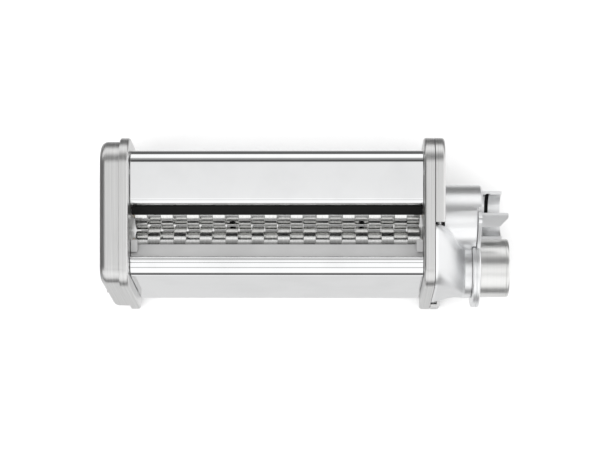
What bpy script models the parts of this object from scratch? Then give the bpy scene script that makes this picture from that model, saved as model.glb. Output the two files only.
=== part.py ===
"""Pasta cutter-roller attachment for a stand mixer.

Frame: +X along the rollers toward the drive collar, +Y to the rear, +Z up through the feed slot.
The origin is the centre of the footprint, on the ground. Lengths below are in millimetres and are
turned into metres by MM when a shape is built.
"""

import math

import bmesh
import bpy
from mathutils import Vector

MM = 0.001
CLEAR = 0.3  # gap between parts that bear on each other
RUN = 0.2  # radial gap of a running fit

# Body outline, seen along X
HEIGHT = 60.0
REAR_TOP_Y = 46.75  # where the sloping rear wall's line would meet the top
REAR_SLOPE = 0.22  # the rear wall leans inward toward the ground
FRONT_TOP_Y = -28.77  # where the top and the front wall would meet without their corner arc
FRONT_SLOPE = 0.264  # the front wall leans outward toward the ground
REAR_TOP_R = 12.9
FRONT_TOP_R = 12.0
FOOT_R = 3.5

# Stations along X
LEFT_CAP_X = -102.15
LEFT_WEB_X = -87.65  # inner face of the left side plate
RIGHT_WEB_X = 57.95  # inner face of the right side plate
LEFT_RIM = 4.7
RIGHT_RIM = 5.2
RIGHT_CAP_X = 68.35
WEB = 1.8
SHEET = 1.5  # flange and cap wall

# Covers
COVER_INSET = 6.2
COVER_SHEET = 1.0
REAR_EDGE_Y = 10.1
REAR_ROLL_R = 3.4
LIP_Y = -15.2
LIP_R = 1.7
COVER_FOOT = 1.2

# Rollers
COLUMNS = 22
PITCH = 6.5
ROLLER_MID_X = -14.85
DISC_R = 12.0
CORE_R = 9.5
AXIS_GAP = 22.0
SIDE_GAP = 0.15
FRONT_AXIS_Y = -12.1
AXIS_Z = 33.0
SHAFT_R = 4.0
ROLLER_SEGMENTS = 20

# Gears, module 1
SYNC_TEETH = 22
WHEEL_TEETH = 17
PINION_TEETH = 11
BACKLASH = 0.34
GEAR_WIDTH = 5.0

# Drive hub
HUB_Y = -21.6
BELL_R = 15.3
COLLAR_R = 14.8
COLLAR_BORE_R = 12.3
COLLAR_END_X = 102.15
NECK_R = 13.1
NECK_BORE_R = 8.8
RING_X = 83.15
RING_WIDTH = 3.7
RING_R = 20.1
BELL_REAR_Y = 1.6
BELL_TOP_Z = 59.5
BELL_BASE_Z = 10.0
BELL_TURNS = (-38.0, 39.0, 141.0, 216.0)  # where the section's corners land on the round end
BELL_SPREAD = 14.0
BELL_PIECES = 4
BELL_BULGE = 1.35
BELL_END_X = 79.55
BELL_WALL = 1.9
TANG = 9.0

# Barrel, guard and thumb lever
BARREL_Y = 3.9
BARREL_Z = 32.0
BARREL_R = 16.5
BARREL_WALL = 2.6
BARREL_END_X = 87.85
GUARD_Y = 5.2
GUARD_R = 12.2
GUARD_SHEET = 1.5
GUARD_END_X = 98.05
ARM_X = 85.2
ARM_SHEET = 1.65
ARM_ANGLE = 45.0
ARM_WIDTH = 8.0
ARM_R = 38.5
TAB_END_X = 100.25

# Fasteners
ROD_R = 2.5
SCREW_R = 1.5
HEAD_R = 3.1
HEAD = 2.0

REAR_AXIS_Y = FRONT_AXIS_Y + AXIS_GAP
HUB_Z = AXIS_Z - math.sqrt(((WHEEL_TEETH + PINION_TEETH) / 2) ** 2 - (FRONT_AXIS_Y - HUB_Y) ** 2)
ROLLER_X = ROLLER_MID_X - COLUMNS * PITCH / 2
COVER_LEFT_X = LEFT_WEB_X + CLEAR
COVER_RIGHT_X = RIGHT_WEB_X - CLEAR
LEFT_RIM_X = LEFT_WEB_X - LEFT_RIM
RIGHT_RIM_X = RIGHT_WEB_X + RIGHT_RIM
CASE_X = RIGHT_RIM_X + CLEAR

for old in list(bpy.data.objects):
    bpy.data.objects.remove(old, do_unlink=True)

parts = bpy.data.collections.new("Pasta_cutter_attachment")
helpers = bpy.data.collections.new("Construction_helpers")
bpy.context.scene.collection.children.link(parts)
bpy.context.scene.collection.children.link(helpers)
helpers.hide_render = True

COLOURS = {
    "chrome": ((0.80, 0.81, 0.82), 0.10, 1.0),
    "brushed": ((0.66, 0.66, 0.65), 0.30, 1.0),
    "machined": ((0.72, 0.72, 0.71), 0.22, 1.0),
    "cast": ((0.74, 0.75, 0.75), 0.34, 1.0),
    "grey": ((0.42, 0.43, 0.43), 0.45, 0.0),
    "black": ((0.03, 0.03, 0.03), 0.50, 0.0),
    "bronze": ((0.60, 0.44, 0.24), 0.35, 1.0),
    "steel": ((0.45, 0.45, 0.46), 0.35, 1.0),
}


def material(name, kind):
    colour, roughness, metallic = COLOURS[kind]
    made = bpy.data.materials.new(name + "_material")
    made.use_nodes = True
    shader = made.node_tree.nodes["Principled BSDF"]
    shader.inputs["Base Color"].default_value = (*colour, 1.0)
    shader.inputs["Roughness"].default_value = roughness
    shader.inputs["Metallic"].default_value = metallic
    made.diffuse_color = (*colour, 1.0)
    return made


def place(obj, kind):
    """Puts an object among the parts with its own material, or among the helpers if kind is None."""
    if kind is None:
        helpers.objects.link(obj)
        obj.hide_render = True
        obj.display_type = "WIRE"
    else:
        parts.objects.link(obj)
        obj.data.materials.append(material(obj.name, kind))
    return obj


def smooth(mesh, degrees=35):
    mesh.shade_smooth()
    mesh.set_sharp_from_angle(angle=math.radians(degrees))


def prism(name, kind, section, x_from, x_to, origin=None):
    """A flat (y, z) outline carried along X; the object's origin is at origin (y, z), halfway along it."""
    if origin is None:
        ys = [p[0] for p in section]
        zs = [p[1] for p in section]
        origin = ((min(ys) + max(ys)) / 2, (min(zs) + max(zs)) / 2)
    curve = bpy.data.curves.new(name, "CURVE")
    curve.dimensions = "2D"
    curve.fill_mode = "BOTH"
    curve.extrude = (x_to - x_from) / 2 * MM
    spline = curve.splines.new("POLY")
    spline.points.add(len(section) - 1)
    for point, (y, z) in zip(spline.points, section):
        point.co = ((y - origin[0]) * MM, (z - origin[1]) * MM, 0, 1)
    spline.use_cyclic_u = True
    carrier = bpy.data.objects.new(name + "_outline", curve)
    mesh = bpy.data.meshes.new_from_object(carrier)
    bpy.data.objects.remove(carrier)
    bpy.data.curves.remove(curve)
    weld(mesh)
    smooth(mesh)
    mesh.name = name
    obj = bpy.data.objects.new(name, mesh)
    obj.location = ((x_from + x_to) / 2 * MM, origin[0] * MM, origin[1] * MM)
    obj.rotation_euler = (math.pi / 2, 0, math.pi / 2)
    return place(obj, kind)


def weld(mesh):
    shape = bmesh.new()
    shape.from_mesh(mesh)
    bmesh.ops.remove_doubles(shape, verts=shape.verts, dist=1e-7)
    bmesh.ops.recalc_face_normals(shape, faces=shape.faces)
    shape.to_mesh(mesh)
    shape.free()


def turned(name, kind, profile, y, z, segments=24, closed=False, degrees=35):
    """A solid turned about the X-parallel axis through (y, z); profile is (x, r), its -X end last."""
    xs = [p[0] for p in profile]
    mid = (min(xs) + max(xs)) / 2
    mesh = bpy.data.meshes.new(name)
    points = [(r * MM, 0, (x - mid) * MM) for x, r in profile]
    edges = [(i, i + 1) for i in range(len(points) - 1)]
    if closed:
        edges.append((len(points) - 1, 0))
    mesh.from_pydata(points, edges, [])
    obj = bpy.data.objects.new(name, mesh)
    screw = obj.modifiers.new("Turn", "SCREW")
    screw.axis = "Z"
    screw.steps = segments
    screw.render_steps = segments
    screw.use_merge_vertices = True
    screw.merge_threshold = 0.000001
    screw.use_smooth_shade = True
    bpy.context.scene.collection.objects.link(obj)
    graph = bpy.context.evaluated_depsgraph_get()
    turned_mesh = bpy.data.meshes.new_from_object(obj.evaluated_get(graph))
    bpy.data.objects.remove(obj)
    weld(turned_mesh)
    smooth(turned_mesh, degrees)
    turned_mesh.name = name
    obj = bpy.data.objects.new(name, turned_mesh)
    obj.location = (mid * MM, y * MM, z * MM)
    obj.rotation_euler = (0, math.pi / 2, 0)
    return place(obj, kind)


def rod(name, kind, x_from, x_to, r, y, z, segments=24):
    return turned(name, kind, [(x_to, 0), (x_to, r), (x_from, r), (x_from, 0)], y, z, segments)


def tube(name, kind, x_from, x_to, r, bore, y, z, segments=24):
    loop = [(x_to, bore), (x_to, r), (x_from, r), (x_from, bore)]
    return turned(name, kind, loop, y, z, segments, closed=True)


def box(name, kind, low, high):
    mesh = bpy.data.meshes.new(name)
    shape = bmesh.new()
    bmesh.ops.create_cube(shape, size=1)
    size = Vector(high) - Vector(low)
    bmesh.ops.scale(shape, vec=size * MM, verts=shape.verts)
    shape.to_mesh(mesh)
    shape.free()
    obj = bpy.data.objects.new(name, mesh)
    obj.location = (Vector(high) + Vector(low)) / 2 * MM
    return place(obj, kind)


def drills(name, x_from, x_to, holes, segments=20):
    """One helper holding a round cutter along X for each (y, z, radius)."""
    mesh = bpy.data.meshes.new(name)
    shape = bmesh.new()
    for y, z, radius in holes:
        cone = bmesh.ops.create_cone(
            shape,
            cap_ends=True,
            segments=segments,
            radius1=radius * MM,
            radius2=radius * MM,
            depth=(x_to - x_from) * MM,
        )
        bmesh.ops.translate(shape, verts=cone["verts"], vec=(-z * MM, y * MM, 0))
    shape.to_mesh(mesh)
    shape.free()
    obj = bpy.data.objects.new(name, mesh)
    obj.location = ((x_from + x_to) / 2 * MM, 0, 0)
    obj.rotation_euler = (0, math.pi / 2, 0)
    return place(obj, None)


def combine(obj, other, operation="DIFFERENCE"):
    step = obj.modifiers.new(operation.title() + "_" + other.name, "BOOLEAN")
    step.operation = operation
    step.solver = "EXACT"
    step.object = other


def arc(centre, radius, start, end, steps):
    """Points from angle start to end, in degrees from +Y toward +Z."""
    found = []
    for i in range(steps + 1):
        angle = math.radians(start + (end - start) * i / steps)
        found.append((centre[0] + radius * math.cos(angle), centre[1] + radius * math.sin(angle)))
    return found


def rounded(corners, steps=6):
    """The outline of a polygon of (y, z, radius) corners, each replaced by an arc of that radius."""
    points = []
    count = len(corners)
    for i in range(count):
        corner = Vector(corners[i][:2])
        before = (Vector(corners[i - 1][:2]) - corner).normalized()
        after = (Vector(corners[(i + 1) % count][:2]) - corner).normalized()
        radius = corners[i][2]
        half = before.angle(after) / 2
        centre = corner + (before + after).normalized() * radius / math.sin(half)
        start = corner + before * radius / math.tan(half) - centre
        end = corner + after * radius / math.tan(half) - centre
        turn = start.angle_signed(end)
        for k in range(steps + 1):
            angle = -turn * k / steps
            points.append(
                (
                    centre.x + start.x * math.cos(angle) - start.y * math.sin(angle),
                    centre.y + start.x * math.sin(angle) + start.y * math.cos(angle),
                )
            )
    return points


def plate_corners(inset):
    """The body outline's four corners, moved in by inset, counter-clockwise from the rear foot."""
    base = inset
    top = HEIGHT - inset

    def rear(z):
        return REAR_TOP_Y - (HEIGHT - z) * REAR_SLOPE - inset * math.sqrt(1 + REAR_SLOPE**2)

    def front(z):
        return FRONT_TOP_Y - (HEIGHT - z) * FRONT_SLOPE + inset * math.sqrt(1 + FRONT_SLOPE**2)

    def radius(r):
        return max(r - inset, 0.6)

    return [
        (rear(base), base, radius(FOOT_R)),
        (rear(top), top, radius(REAR_TOP_R)),
        (front(top), top, radius(FRONT_TOP_R)),
        (front(base), base, radius(FOOT_R)),
    ]


def soften(obj, face_x, radius, steps=3):
    """Rounds the rim of the face at the given end of a prism."""
    shape = bmesh.new()
    shape.from_mesh(obj.data)
    local = face_x * MM - obj.location.x
    rim = [e for e in shape.edges if all(abs(v.co.z - local) < 1e-6 for v in e.verts)]
    outer = [e for e in rim if len({round(f.normal.z) for f in e.link_faces}) > 1]
    bmesh.ops.bevel(shape, geom=outer, offset=radius * MM, segments=steps, profile=0.5, affect="EDGES")
    bmesh.ops.recalc_face_normals(shape, faces=shape.faces)
    shape.to_mesh(obj.data)
    shape.free()
    smooth(obj.data)


# --- Fastener positions, (y, z)
GUIDE_SHEET = 0.8
TIE_RODS = {
    "rear_top": (32.6, 48.0),
    "rear_low": (24.0, 9.0),
    "front_top": (-21.0, 48.4),
    "front_low": (-31.2, 7.6),
}
CASE_SCREWS = {"rear": (-3.8, 15.6), "front": (-29.0, 14.8)}
LEFT_CAP_SCREWS = {"rear": (30.0, 28.0), "front": (-29.5, 28.0)}
RIGHT_CAP_SCREWS = {"rear_high": (32.0, 38.0), "rear_deep": (27.4, 20.0)}

AXES = {"front": FRONT_AXIS_Y, "rear": REAR_AXIS_Y}
BUSH_R = 6.0
BUSH_FLANGE_R = 7.6
HUB_BUSH_R = 5.2
HUB_BUSH_FLANGE_R = 5.7


def side_plate(name, side):
    """A pressed pan: flat web against the covers, flange turned outward."""
    web_x = LEFT_WEB_X if side < 0 else RIGHT_WEB_X
    rim = LEFT_RIM if side < 0 else RIGHT_RIM
    ends = sorted((web_x, web_x + side * rim))
    plate = prism(name, "brushed", rounded(plate_corners(0)), *ends)
    inside = sorted((web_x + side * WEB, web_x + side * (rim + 5)))
    pan = prism(name + "_pan", None, rounded(plate_corners(SHEET)), *inside)
    combine(plate, pan)
    holes = [(y, AXIS_Z, BUSH_R + CLEAR) for y in AXES.values()]
    holes += [(y, z, SCREW_R + 0.4) for y, z in TIE_RODS.values()]
    if side > 0:
        holes.append((HUB_Y, HUB_Z, HUB_BUSH_R + CLEAR))
        holes += [(y, z, SCREW_R + 0.4) for y, z in CASE_SCREWS.values()]
        holes += [(y, z, SCREW_R + 0.4) for y, z in RIGHT_CAP_SCREWS.values()]
    else:
        holes += [(y, z, SCREW_R + 0.4) for y, z in LEFT_CAP_SCREWS.values()]
    through = sorted((web_x - side * 3, web_x + side * (WEB + 3)))
    combine(plate, drills(name + "_holes", *through, holes))
    return plate


left_plate = side_plate("left_side_plate", -1)
right_plate = side_plate("right_side_plate", 1)


def screw(name, x_seat, side, y, z, length):
    """Pan-head screw; the head lies on the side given, its shank runs the other way from x_seat."""
    head = x_seat + side * CLEAR
    profile = [
        (head + side * HEAD, 0),
        (head + side * HEAD, HEAD_R * 0.7),
        (head + side * HEAD * 0.45, HEAD_R),
        (head, HEAD_R),
        (head, SCREW_R),
        (head - side * length, SCREW_R),
        (head - side * length, 0),
    ]
    if side < 0:
        profile.reverse()
    return turned(name, "steel", profile, y, z, 12)


# Tie rods, tapped at both ends, and their screws
TAP_DEPTH = 12.0
for place_name, (rod_y, rod_z) in TIE_RODS.items():
    bored = [
        (COVER_RIGHT_X - TAP_DEPTH, 0),
        (COVER_RIGHT_X - TAP_DEPTH, SCREW_R + 0.25),
        (COVER_RIGHT_X, SCREW_R + 0.25),
        (COVER_RIGHT_X, ROD_R + 0.3),
        (COVER_LEFT_X, ROD_R + 0.3),
        (COVER_LEFT_X, SCREW_R + 0.25),
        (COVER_LEFT_X + TAP_DEPTH, SCREW_R + 0.25),
        (COVER_LEFT_X + TAP_DEPTH, 0),
    ]
    turned("tie_rod_" + place_name, "steel", bored, rod_y, rod_z, 14)
    screw("tie_screw_left_" + place_name, LEFT_WEB_X - WEB, -1, rod_y, rod_z, WEB + 9)
    screw("tie_screw_right_" + place_name, RIGHT_WEB_X + WEB, 1, rod_y, rod_z, WEB + 9)

# Left end cap: a drawn cover that nests in the plate's flange, with two screw posts
cap_inset = SHEET + CLEAR
left_cap_base = LEFT_WEB_X - WEB - CLEAR
left_cap = prism("left_end_cap", "brushed", rounded(plate_corners(cap_inset)), LEFT_CAP_X, left_cap_base)
soften(left_cap, LEFT_CAP_X, 3.4)
cap_hollow = prism(
    "left_cap_hollow",
    None,
    rounded(plate_corners(cap_inset + SHEET)),
    LEFT_CAP_X + SHEET,
    left_cap_base + 4,
)
soften(cap_hollow, LEFT_CAP_X + SHEET, 1.9)
combine(left_cap, cap_hollow)
for tag, (post_y, post_z) in LEFT_CAP_SCREWS.items():
    post = rod("left_cap_post_" + tag, None, LEFT_CAP_X + 0.4, left_cap_base, 4.6, post_y, post_z, 16)
    combine(left_cap, post, "UNION")
deep = [(y, z, SCREW_R + 0.4) for y, z in LEFT_CAP_SCREWS.values()]
combine(left_cap, drills("left_cap_bores", LEFT_CAP_X - 2, left_cap_base + 2, deep, 12))
wide = [(y, z, HEAD_R + 0.3) for y, z in LEFT_CAP_SCREWS.values()]
combine(left_cap, drills("left_cap_counterbores", LEFT_CAP_X - 2, LEFT_CAP_X + 2.9, wide, 16))
for tag, (post_y, post_z) in LEFT_CAP_SCREWS.items():
    screw("left_cap_screw_" + tag, LEFT_CAP_X + 2.9, -1, post_y, post_z, 12)

# Right end cap: the same outline as the plate, cut away where the gear case meets the plate
right_cap = prism("right_end_cap", "brushed", rounded(plate_corners(0)), CASE_X, RIGHT_CAP_X)
soften(right_cap, RIGHT_CAP_X, 1.6, 2)
right_hollow = prism(
    "right_cap_hollow", None, rounded(plate_corners(SHEET)), CASE_X - 3, RIGHT_CAP_X - SHEET
)
combine(right_cap, right_hollow)
for tag, (post_y, post_z) in RIGHT_CAP_SCREWS.items():
    post_base = RIGHT_WEB_X + WEB + CLEAR
    post = rod("right_cap_post_" + tag, None, post_base, RIGHT_CAP_X - 0.4, 4.6, post_y, post_z, 16)
    combine(right_cap, post, "UNION")
bay = box(
    "right_cap_bay",
    None,
    (CASE_X - 2, FRONT_TOP_Y - 40, BELL_BASE_Z - 1.3),
    (RIGHT_CAP_X + 2, BELL_REAR_Y + CLEAR, HEIGHT + 5),
)
combine(right_cap, bay)
deep = [(y, z, SCREW_R + 0.4) for y, z in RIGHT_CAP_SCREWS.values()]
combine(right_cap, drills("right_cap_bores", CASE_X - 6, RIGHT_CAP_X + 2, deep, 12))
wide = [(y, z, HEAD_R + 0.3) for y, z in RIGHT_CAP_SCREWS.values()]
combine(right_cap, drills("right_cap_counterbores", RIGHT_CAP_X - 2.9, RIGHT_CAP_X + 2, wide, 16))
for tag, (post_y, post_z) in RIGHT_CAP_SCREWS.items():
    screw("right_cap_screw_" + tag, RIGHT_CAP_X - 2.9, 1, post_y, post_z, 9.5)


def sheet(line, thickness):
    """Closed section of a bent sheet: an open (y, z) line and its copy moved to the line's right."""
    shifted = []
    for i, point in enumerate(line):
        here = Vector(point)
        back = (here - Vector(line[i - 1])).normalized() if i else None
        ahead = (Vector(line[i + 1]) - here).normalized() if i + 1 < len(line) else None
        back = back or ahead
        ahead = ahead or back
        across = Vector((back.y + ahead.y, -back.x - ahead.x)).normalized()
        reach = thickness / max(across.dot(Vector((back.y, -back.x))), 0.5)
        shifted.append(tuple(here + across * reach))
    return list(line) + shifted[::-1]


# Covers: bright sheet between the plates, each with a rolled edge at the feed slot
cover_rim = plate_corners(COVER_INSET)
cover_top_z = cover_rim[1][1]
cover_corners = rounded(cover_rim, 8)
roll_centre = (REAR_EDGE_Y + REAR_ROLL_R, cover_top_z - REAR_ROLL_R)
rear_line = arc(roll_centre, REAR_ROLL_R, 215, 90, 8)
rear_line += cover_corners[9:18][::-1]
rear_line.append((cover_rim[1][0] - (cover_top_z - COVER_FOOT) * REAR_SLOPE, COVER_FOOT))
prism("rear_cover", "chrome", sheet(rear_line, COVER_SHEET), COVER_LEFT_X, COVER_RIGHT_X)

front_arc = cover_corners[18:27]
front_foot_y = cover_rim[2][0] - (cover_top_z - COVER_FOOT) * FRONT_SLOPE
lip_centre = (LIP_Y - LIP_R, cover_top_z - LIP_R * 0.45)
front_line = arc(lip_centre, LIP_R, -35, 152, 9)
front_line.append((lip_centre[0] - LIP_R - 0.35, cover_top_z))
front_line += front_arc
front_line.append((front_foot_y, COVER_FOOT))
front_line.reverse()
prism("front_cover", "chrome", sheet(front_line, COVER_SHEET), COVER_LEFT_X, COVER_RIGHT_X)


# Rollers: discs of one stand in the grooves of the other
def cutter_roller(name, axis_y, first):
    """Tube with a disc in every second column, starting at column first."""
    left = ROLLER_X + SIDE_GAP
    right = ROLLER_X + COLUMNS * PITCH - SIDE_GAP
    bore = SHAFT_R + RUN
    loop = [(left, bore)]
    for column in range(COLUMNS):
        is_disc = column % 2 == first
        inset = SIDE_GAP if is_disc else -SIDE_GAP
        low = max(ROLLER_X + column * PITCH + inset, left)
        high = min(ROLLER_X + (column + 1) * PITCH - inset, right)
        radius = DISC_R if is_disc else CORE_R
        loop += [(low, radius), (high, radius)]
    loop.append((right, bore))
    loop.reverse()
    return turned(name, "machined", loop, axis_y, AXIS_Z, ROLLER_SEGMENTS, closed=True)


def set_screw(name, axis_y, column, degrees):
    """Grub screw across a disc, its point just off the shaft, its head sunk below the rim."""
    x = ROLLER_X + (column + 0.5) * PITCH
    mesh = bpy.data.meshes.new(name)
    shape = bmesh.new()
    low = SHAFT_R + 0.5
    high = DISC_R - 1.4
    bmesh.ops.create_cone(
        shape, cap_ends=True, segments=12, radius1=1.25 * MM, radius2=1.25 * MM, depth=(high - low) * MM
    )
    shape.to_mesh(mesh)
    shape.free()
    smooth(mesh)
    obj = bpy.data.objects.new(name, mesh)
    angle = math.radians(degrees)
    mid = (low + high) / 2
    obj.location = (x * MM, (axis_y + mid * math.cos(angle)) * MM, (AXIS_Z + mid * math.sin(angle)) * MM)
    obj.rotation_euler = (angle - math.pi / 2, 0, 0)
    return place(obj, "black")


def set_screw_bore(name, axis_y, columns, degrees):
    mesh = bpy.data.meshes.new(name)
    shape = bmesh.new()
    for column in columns:
        x = ROLLER_X + (column + 0.5) * PITCH
        drill = bmesh.ops.create_cone(
            shape, cap_ends=True, segments=12, radius1=1.55 * MM, radius2=1.55 * MM, depth=14 * MM
        )
        bmesh.ops.translate(shape, verts=drill["verts"], vec=(x * MM, 0, 9 * MM))
    shape.to_mesh(mesh)
    shape.free()
    obj = bpy.data.objects.new(name, mesh)
    obj.location = (0, axis_y * MM, AXIS_Z * MM)
    obj.rotation_euler = (math.radians(degrees - 90), 0, 0)
    return place(obj, None)


SET_SCREWS = {"front": ((7, 17), 17.0, 1), "rear": ((4, 16), -60.0, 0)}
rollers = {}
for row, (columns, degrees, first) in SET_SCREWS.items():
    rollers[row] = cutter_roller(row + "_cutter_roller", AXES[row], first)
    combine(rollers[row], set_screw_bore(row + "_set_screw_bores", AXES[row], columns, degrees))
    for index, column in enumerate(columns):
        set_screw(row + "_set_screw_" + "ab"[index], AXES[row], column, degrees)

# Shafts, their bushings, and the gears outside the plates
SYNC_X = (LEFT_CAP_X + 4.2, LEFT_CAP_X + 4.2 + GEAR_WIDTH)
WHEEL_X = (RIGHT_WEB_X + WEB + 2.0, RIGHT_WEB_X + WEB + 2.0 + GEAR_WIDTH)
SHAFT_LEFT_X = LEFT_CAP_X + 2.6
SHAFT_ENDS = {"front": WHEEL_X[1] + 0.8, "rear": RIGHT_WEB_X + WEB + 2.4}
for row, axis_y in AXES.items():
    rod(row + "_roller_shaft", "steel", SHAFT_LEFT_X, SHAFT_ENDS[row], SHAFT_R, axis_y, AXIS_Z, 20)


def bushing(name, web_face, side, y, z, radius, flange, bore):
    """Flanged bush through a web, flange on the outer side."""
    inner = web_face + side * 0.1
    seat = web_face + side * (WEB + CLEAR)
    profile = [
        (seat + side * 1.2, bore),
        (seat + side * 1.2, flange),
        (seat, flange),
        (seat, radius),
        (inner, radius),
        (inner, bore),
    ]
    if side < 0:
        profile.reverse()
    return turned(name, "bronze", profile, y, z, 16, closed=True)


for row, axis_y in AXES.items():
    bore = SHAFT_R + RUN
    bushing("left_bushing_" + row, LEFT_WEB_X, -1, axis_y, AXIS_Z, BUSH_R, BUSH_FLANGE_R, bore)
    bushing("right_bushing_" + row, RIGHT_WEB_X, 1, axis_y, AXIS_Z, BUSH_R, BUSH_FLANGE_R, bore)


def gear_outline(teeth, phase):
    """Involute spur outline, module 1, 20 degrees, with a tooth centred on the angle phase (degrees)."""
    pitch_r = teeth / 2
    base_r = pitch_r * math.cos(math.radians(20))
    tip_r = pitch_r + 0.94
    root_r = pitch_r - 1.3

    def involute(r):
        roll = math.sqrt(max((r / base_r) ** 2 - 1, 0))
        return roll - math.atan(roll)

    half_pitch = math.pi / 2 / teeth - BACKLASH / 2 / teeth
    points = []
    for tooth in range(teeth):
        centre = math.radians(phase) + 2 * math.pi * tooth / teeth
        start_r = max(root_r, base_r)
        radii = [start_r, tip_r]
        flank = [(r, half_pitch + involute(pitch_r) - involute(r)) for r in radii]
        if start_r > root_r + 0.05:
            flank.insert(0, (root_r, flank[0][1]))
        for r, half in flank:
            points.append((r, centre - half))
        for r, half in reversed(flank):
            points.append((r, centre + half))
    return [(r * math.cos(a), r * math.sin(a)) for r, a in points]


def gear(name, kind, teeth, phase, x_range, y, z, bore):
    section = [(y + p, z + q) for p, q in gear_outline(teeth, phase)]
    made = prism(name, kind, section, *x_range, origin=(y, z))
    combine(made, drills(name + "_bore", x_range[0] - 1, x_range[1] + 1, [(y, z, bore)], 20))
    return made


gear("front_sync_gear", "steel", SYNC_TEETH, 0, SYNC_X, FRONT_AXIS_Y, AXIS_Z, SHAFT_R + RUN)
half_step = 180 / SYNC_TEETH
gear("rear_sync_gear", "steel", SYNC_TEETH, half_step, SYNC_X, REAR_AXIS_Y, AXIS_Z, SHAFT_R + RUN)
to_hub = math.degrees(math.atan2(HUB_Z - AXIS_Z, HUB_Y - FRONT_AXIS_Y))
gear("drive_wheel", "steel", WHEEL_TEETH, to_hub, WHEEL_X, FRONT_AXIS_Y, AXIS_Z, SHAFT_R + RUN)
pinion_phase = to_hub + 180 + 180 / PINION_TEETH
PINION_X = (WHEEL_X[0], WHEEL_X[1] + 0.6)
DRIVE_R = 3.0
gear("drive_pinion", "steel", PINION_TEETH, pinion_phase, PINION_X, HUB_Y, HUB_Z, DRIVE_R + RUN)

# Drive shaft with a square tang sunk in the collar
TANG_X = (90.2, 98.4)
rod("drive_shaft", "steel", RIGHT_WEB_X + 0.3, TANG_X[0], DRIVE_R, HUB_Y, HUB_Z, 20)
drive_shaft = bpy.data.objects["drive_shaft"]
half_tang = TANG / 2
square = rounded(
    [
        (HUB_Y + half_tang, HUB_Z - half_tang, 1.0),
        (HUB_Y + half_tang, HUB_Z + half_tang, 1.0),
        (HUB_Y - half_tang, HUB_Z + half_tang, 1.0),
        (HUB_Y - half_tang, HUB_Z - half_tang, 1.0),
    ],
    2,
)
tang = prism("drive_tang", None, square, TANG_X[0] - 1.0, TANG_X[1])
combine(drive_shaft, tang, "UNION")
bushing(
    "drive_bushing_inner", RIGHT_WEB_X, 1, HUB_Y, HUB_Z, HUB_BUSH_R, HUB_BUSH_FLANGE_R, DRIVE_R + RUN
)
tube("drive_bushing_outer", "bronze", 79.6, 87.0, NECK_BORE_R - CLEAR, DRIVE_R + RUN, HUB_Y, HUB_Z, 20)
tube("drive_shaft_clip", "steel", 87.3, 88.5, 5.2, DRIVE_R + RUN, HUB_Y, HUB_Z, 16)

# Hub collar: neck held in the gear case, wide mouth for the mixer's hub
neck_left = 78.0
collar_profile = [
    (COLLAR_END_X, COLLAR_BORE_R),
    (COLLAR_END_X, COLLAR_R - 0.8),
    (COLLAR_END_X - 0.8, COLLAR_R),
    (RING_X + RING_WIDTH + CLEAR, COLLAR_R),
    (RING_X + RING_WIDTH + CLEAR, NECK_R),
    (neck_left, NECK_R),
    (neck_left, NECK_BORE_R),
    (87.3, NECK_BORE_R),
    (87.3 + 1.8, COLLAR_BORE_R),
]
turned("hub_collar", "machined", collar_profile, HUB_Y, HUB_Z, 32, closed=True)


# Gear case: a bell that runs from the plate's outline to a round neck, with a side barrel
def bell_start(inset):
    lean_out = math.sqrt(1 + FRONT_SLOPE**2)
    top = BELL_TOP_Z - inset
    base = BELL_BASE_Z + inset
    skin = inset + 0.5

    def front(z):
        return FRONT_TOP_Y - (HEIGHT - z) * FRONT_SLOPE + skin * lean_out

    return rounded(
        [
            (BELL_REAR_Y - inset, base, 5.0 - inset),
            (BELL_REAR_Y - inset, top, 4.0 - inset),
            (front(top), top, FRONT_TOP_R - inset - 0.5),
            (front(base), base, 7.0 - inset),
        ],
        8,
    )


def bell_spokes(inset):
    """Each point of the plate-like section, with its place on the round section in degrees."""
    outline = bell_start(inset)
    count = len(outline) // 4
    pairs = []
    for corner in range(4):
        edge = outline[corner * count : (corner + 1) * count]
        start = BELL_TURNS[corner] + BELL_SPREAD / 2
        end = BELL_TURNS[(corner + 1) % 4] - BELL_SPREAD / 2 + (360 if corner == 3 else 0)
        for k, point in enumerate(edge):
            pairs.append((point, start - BELL_SPREAD * (1 - k / (count - 1))))
        after = outline[(corner + 1) * count % len(outline)]
        for k in range(1, BELL_PIECES):
            t = k / BELL_PIECES
            y = edge[-1][0] * (1 - t) + after[0] * t
            z = edge[-1][1] * (1 - t) + after[1] * t
            pairs.append(((y, z), start * (1 - t) + end * t))
    return pairs


def bell(name, inset, x_from, x_end, kind):
    """Loft between unlike sections: plate-like at x_from, round about the hub axis at x_end."""
    spokes = bell_spokes(inset)
    around = len(spokes)
    stations = [0.0, 0.15, 0.32, 0.5, 0.68, 0.85, 1.0]
    mesh = bpy.data.meshes.new(name)
    points = []
    for t in stations:
        ease = t**BELL_BULGE
        x = CASE_X + (x_end - CASE_X) * t
        if t == 0.0:
            x = x_from
        for (y, z), degrees in spokes:
            turn = math.radians(degrees)
            round_y = (BELL_R - inset) * math.cos(turn)
            round_z = (BELL_R - inset) * math.sin(turn)
            here_y = (y - HUB_Y) * (1 - ease) + round_y * ease
            here_z = (z - HUB_Z) * (1 - ease) + round_z * ease
            points.append((x * MM, here_y * MM, here_z * MM))
    faces = []
    rings = len(stations)
    for ring in range(rings - 1):
        for k in range(around):
            nxt = (k + 1) % around
            faces.append(
                (ring * around + k, ring * around + nxt, (ring + 1) * around + nxt, (ring + 1) * around + k)
            )
    faces.append(tuple(range(around - 1, -1, -1)))
    faces.append(tuple(range((rings - 1) * around, rings * around)))
    mesh.from_pydata(points, [], faces)
    weld(mesh)
    smooth(mesh, 50)
    obj = bpy.data.objects.new(name, mesh)
    obj.location = (0, HUB_Y * MM, HUB_Z * MM)
    return place(obj, kind)


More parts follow.
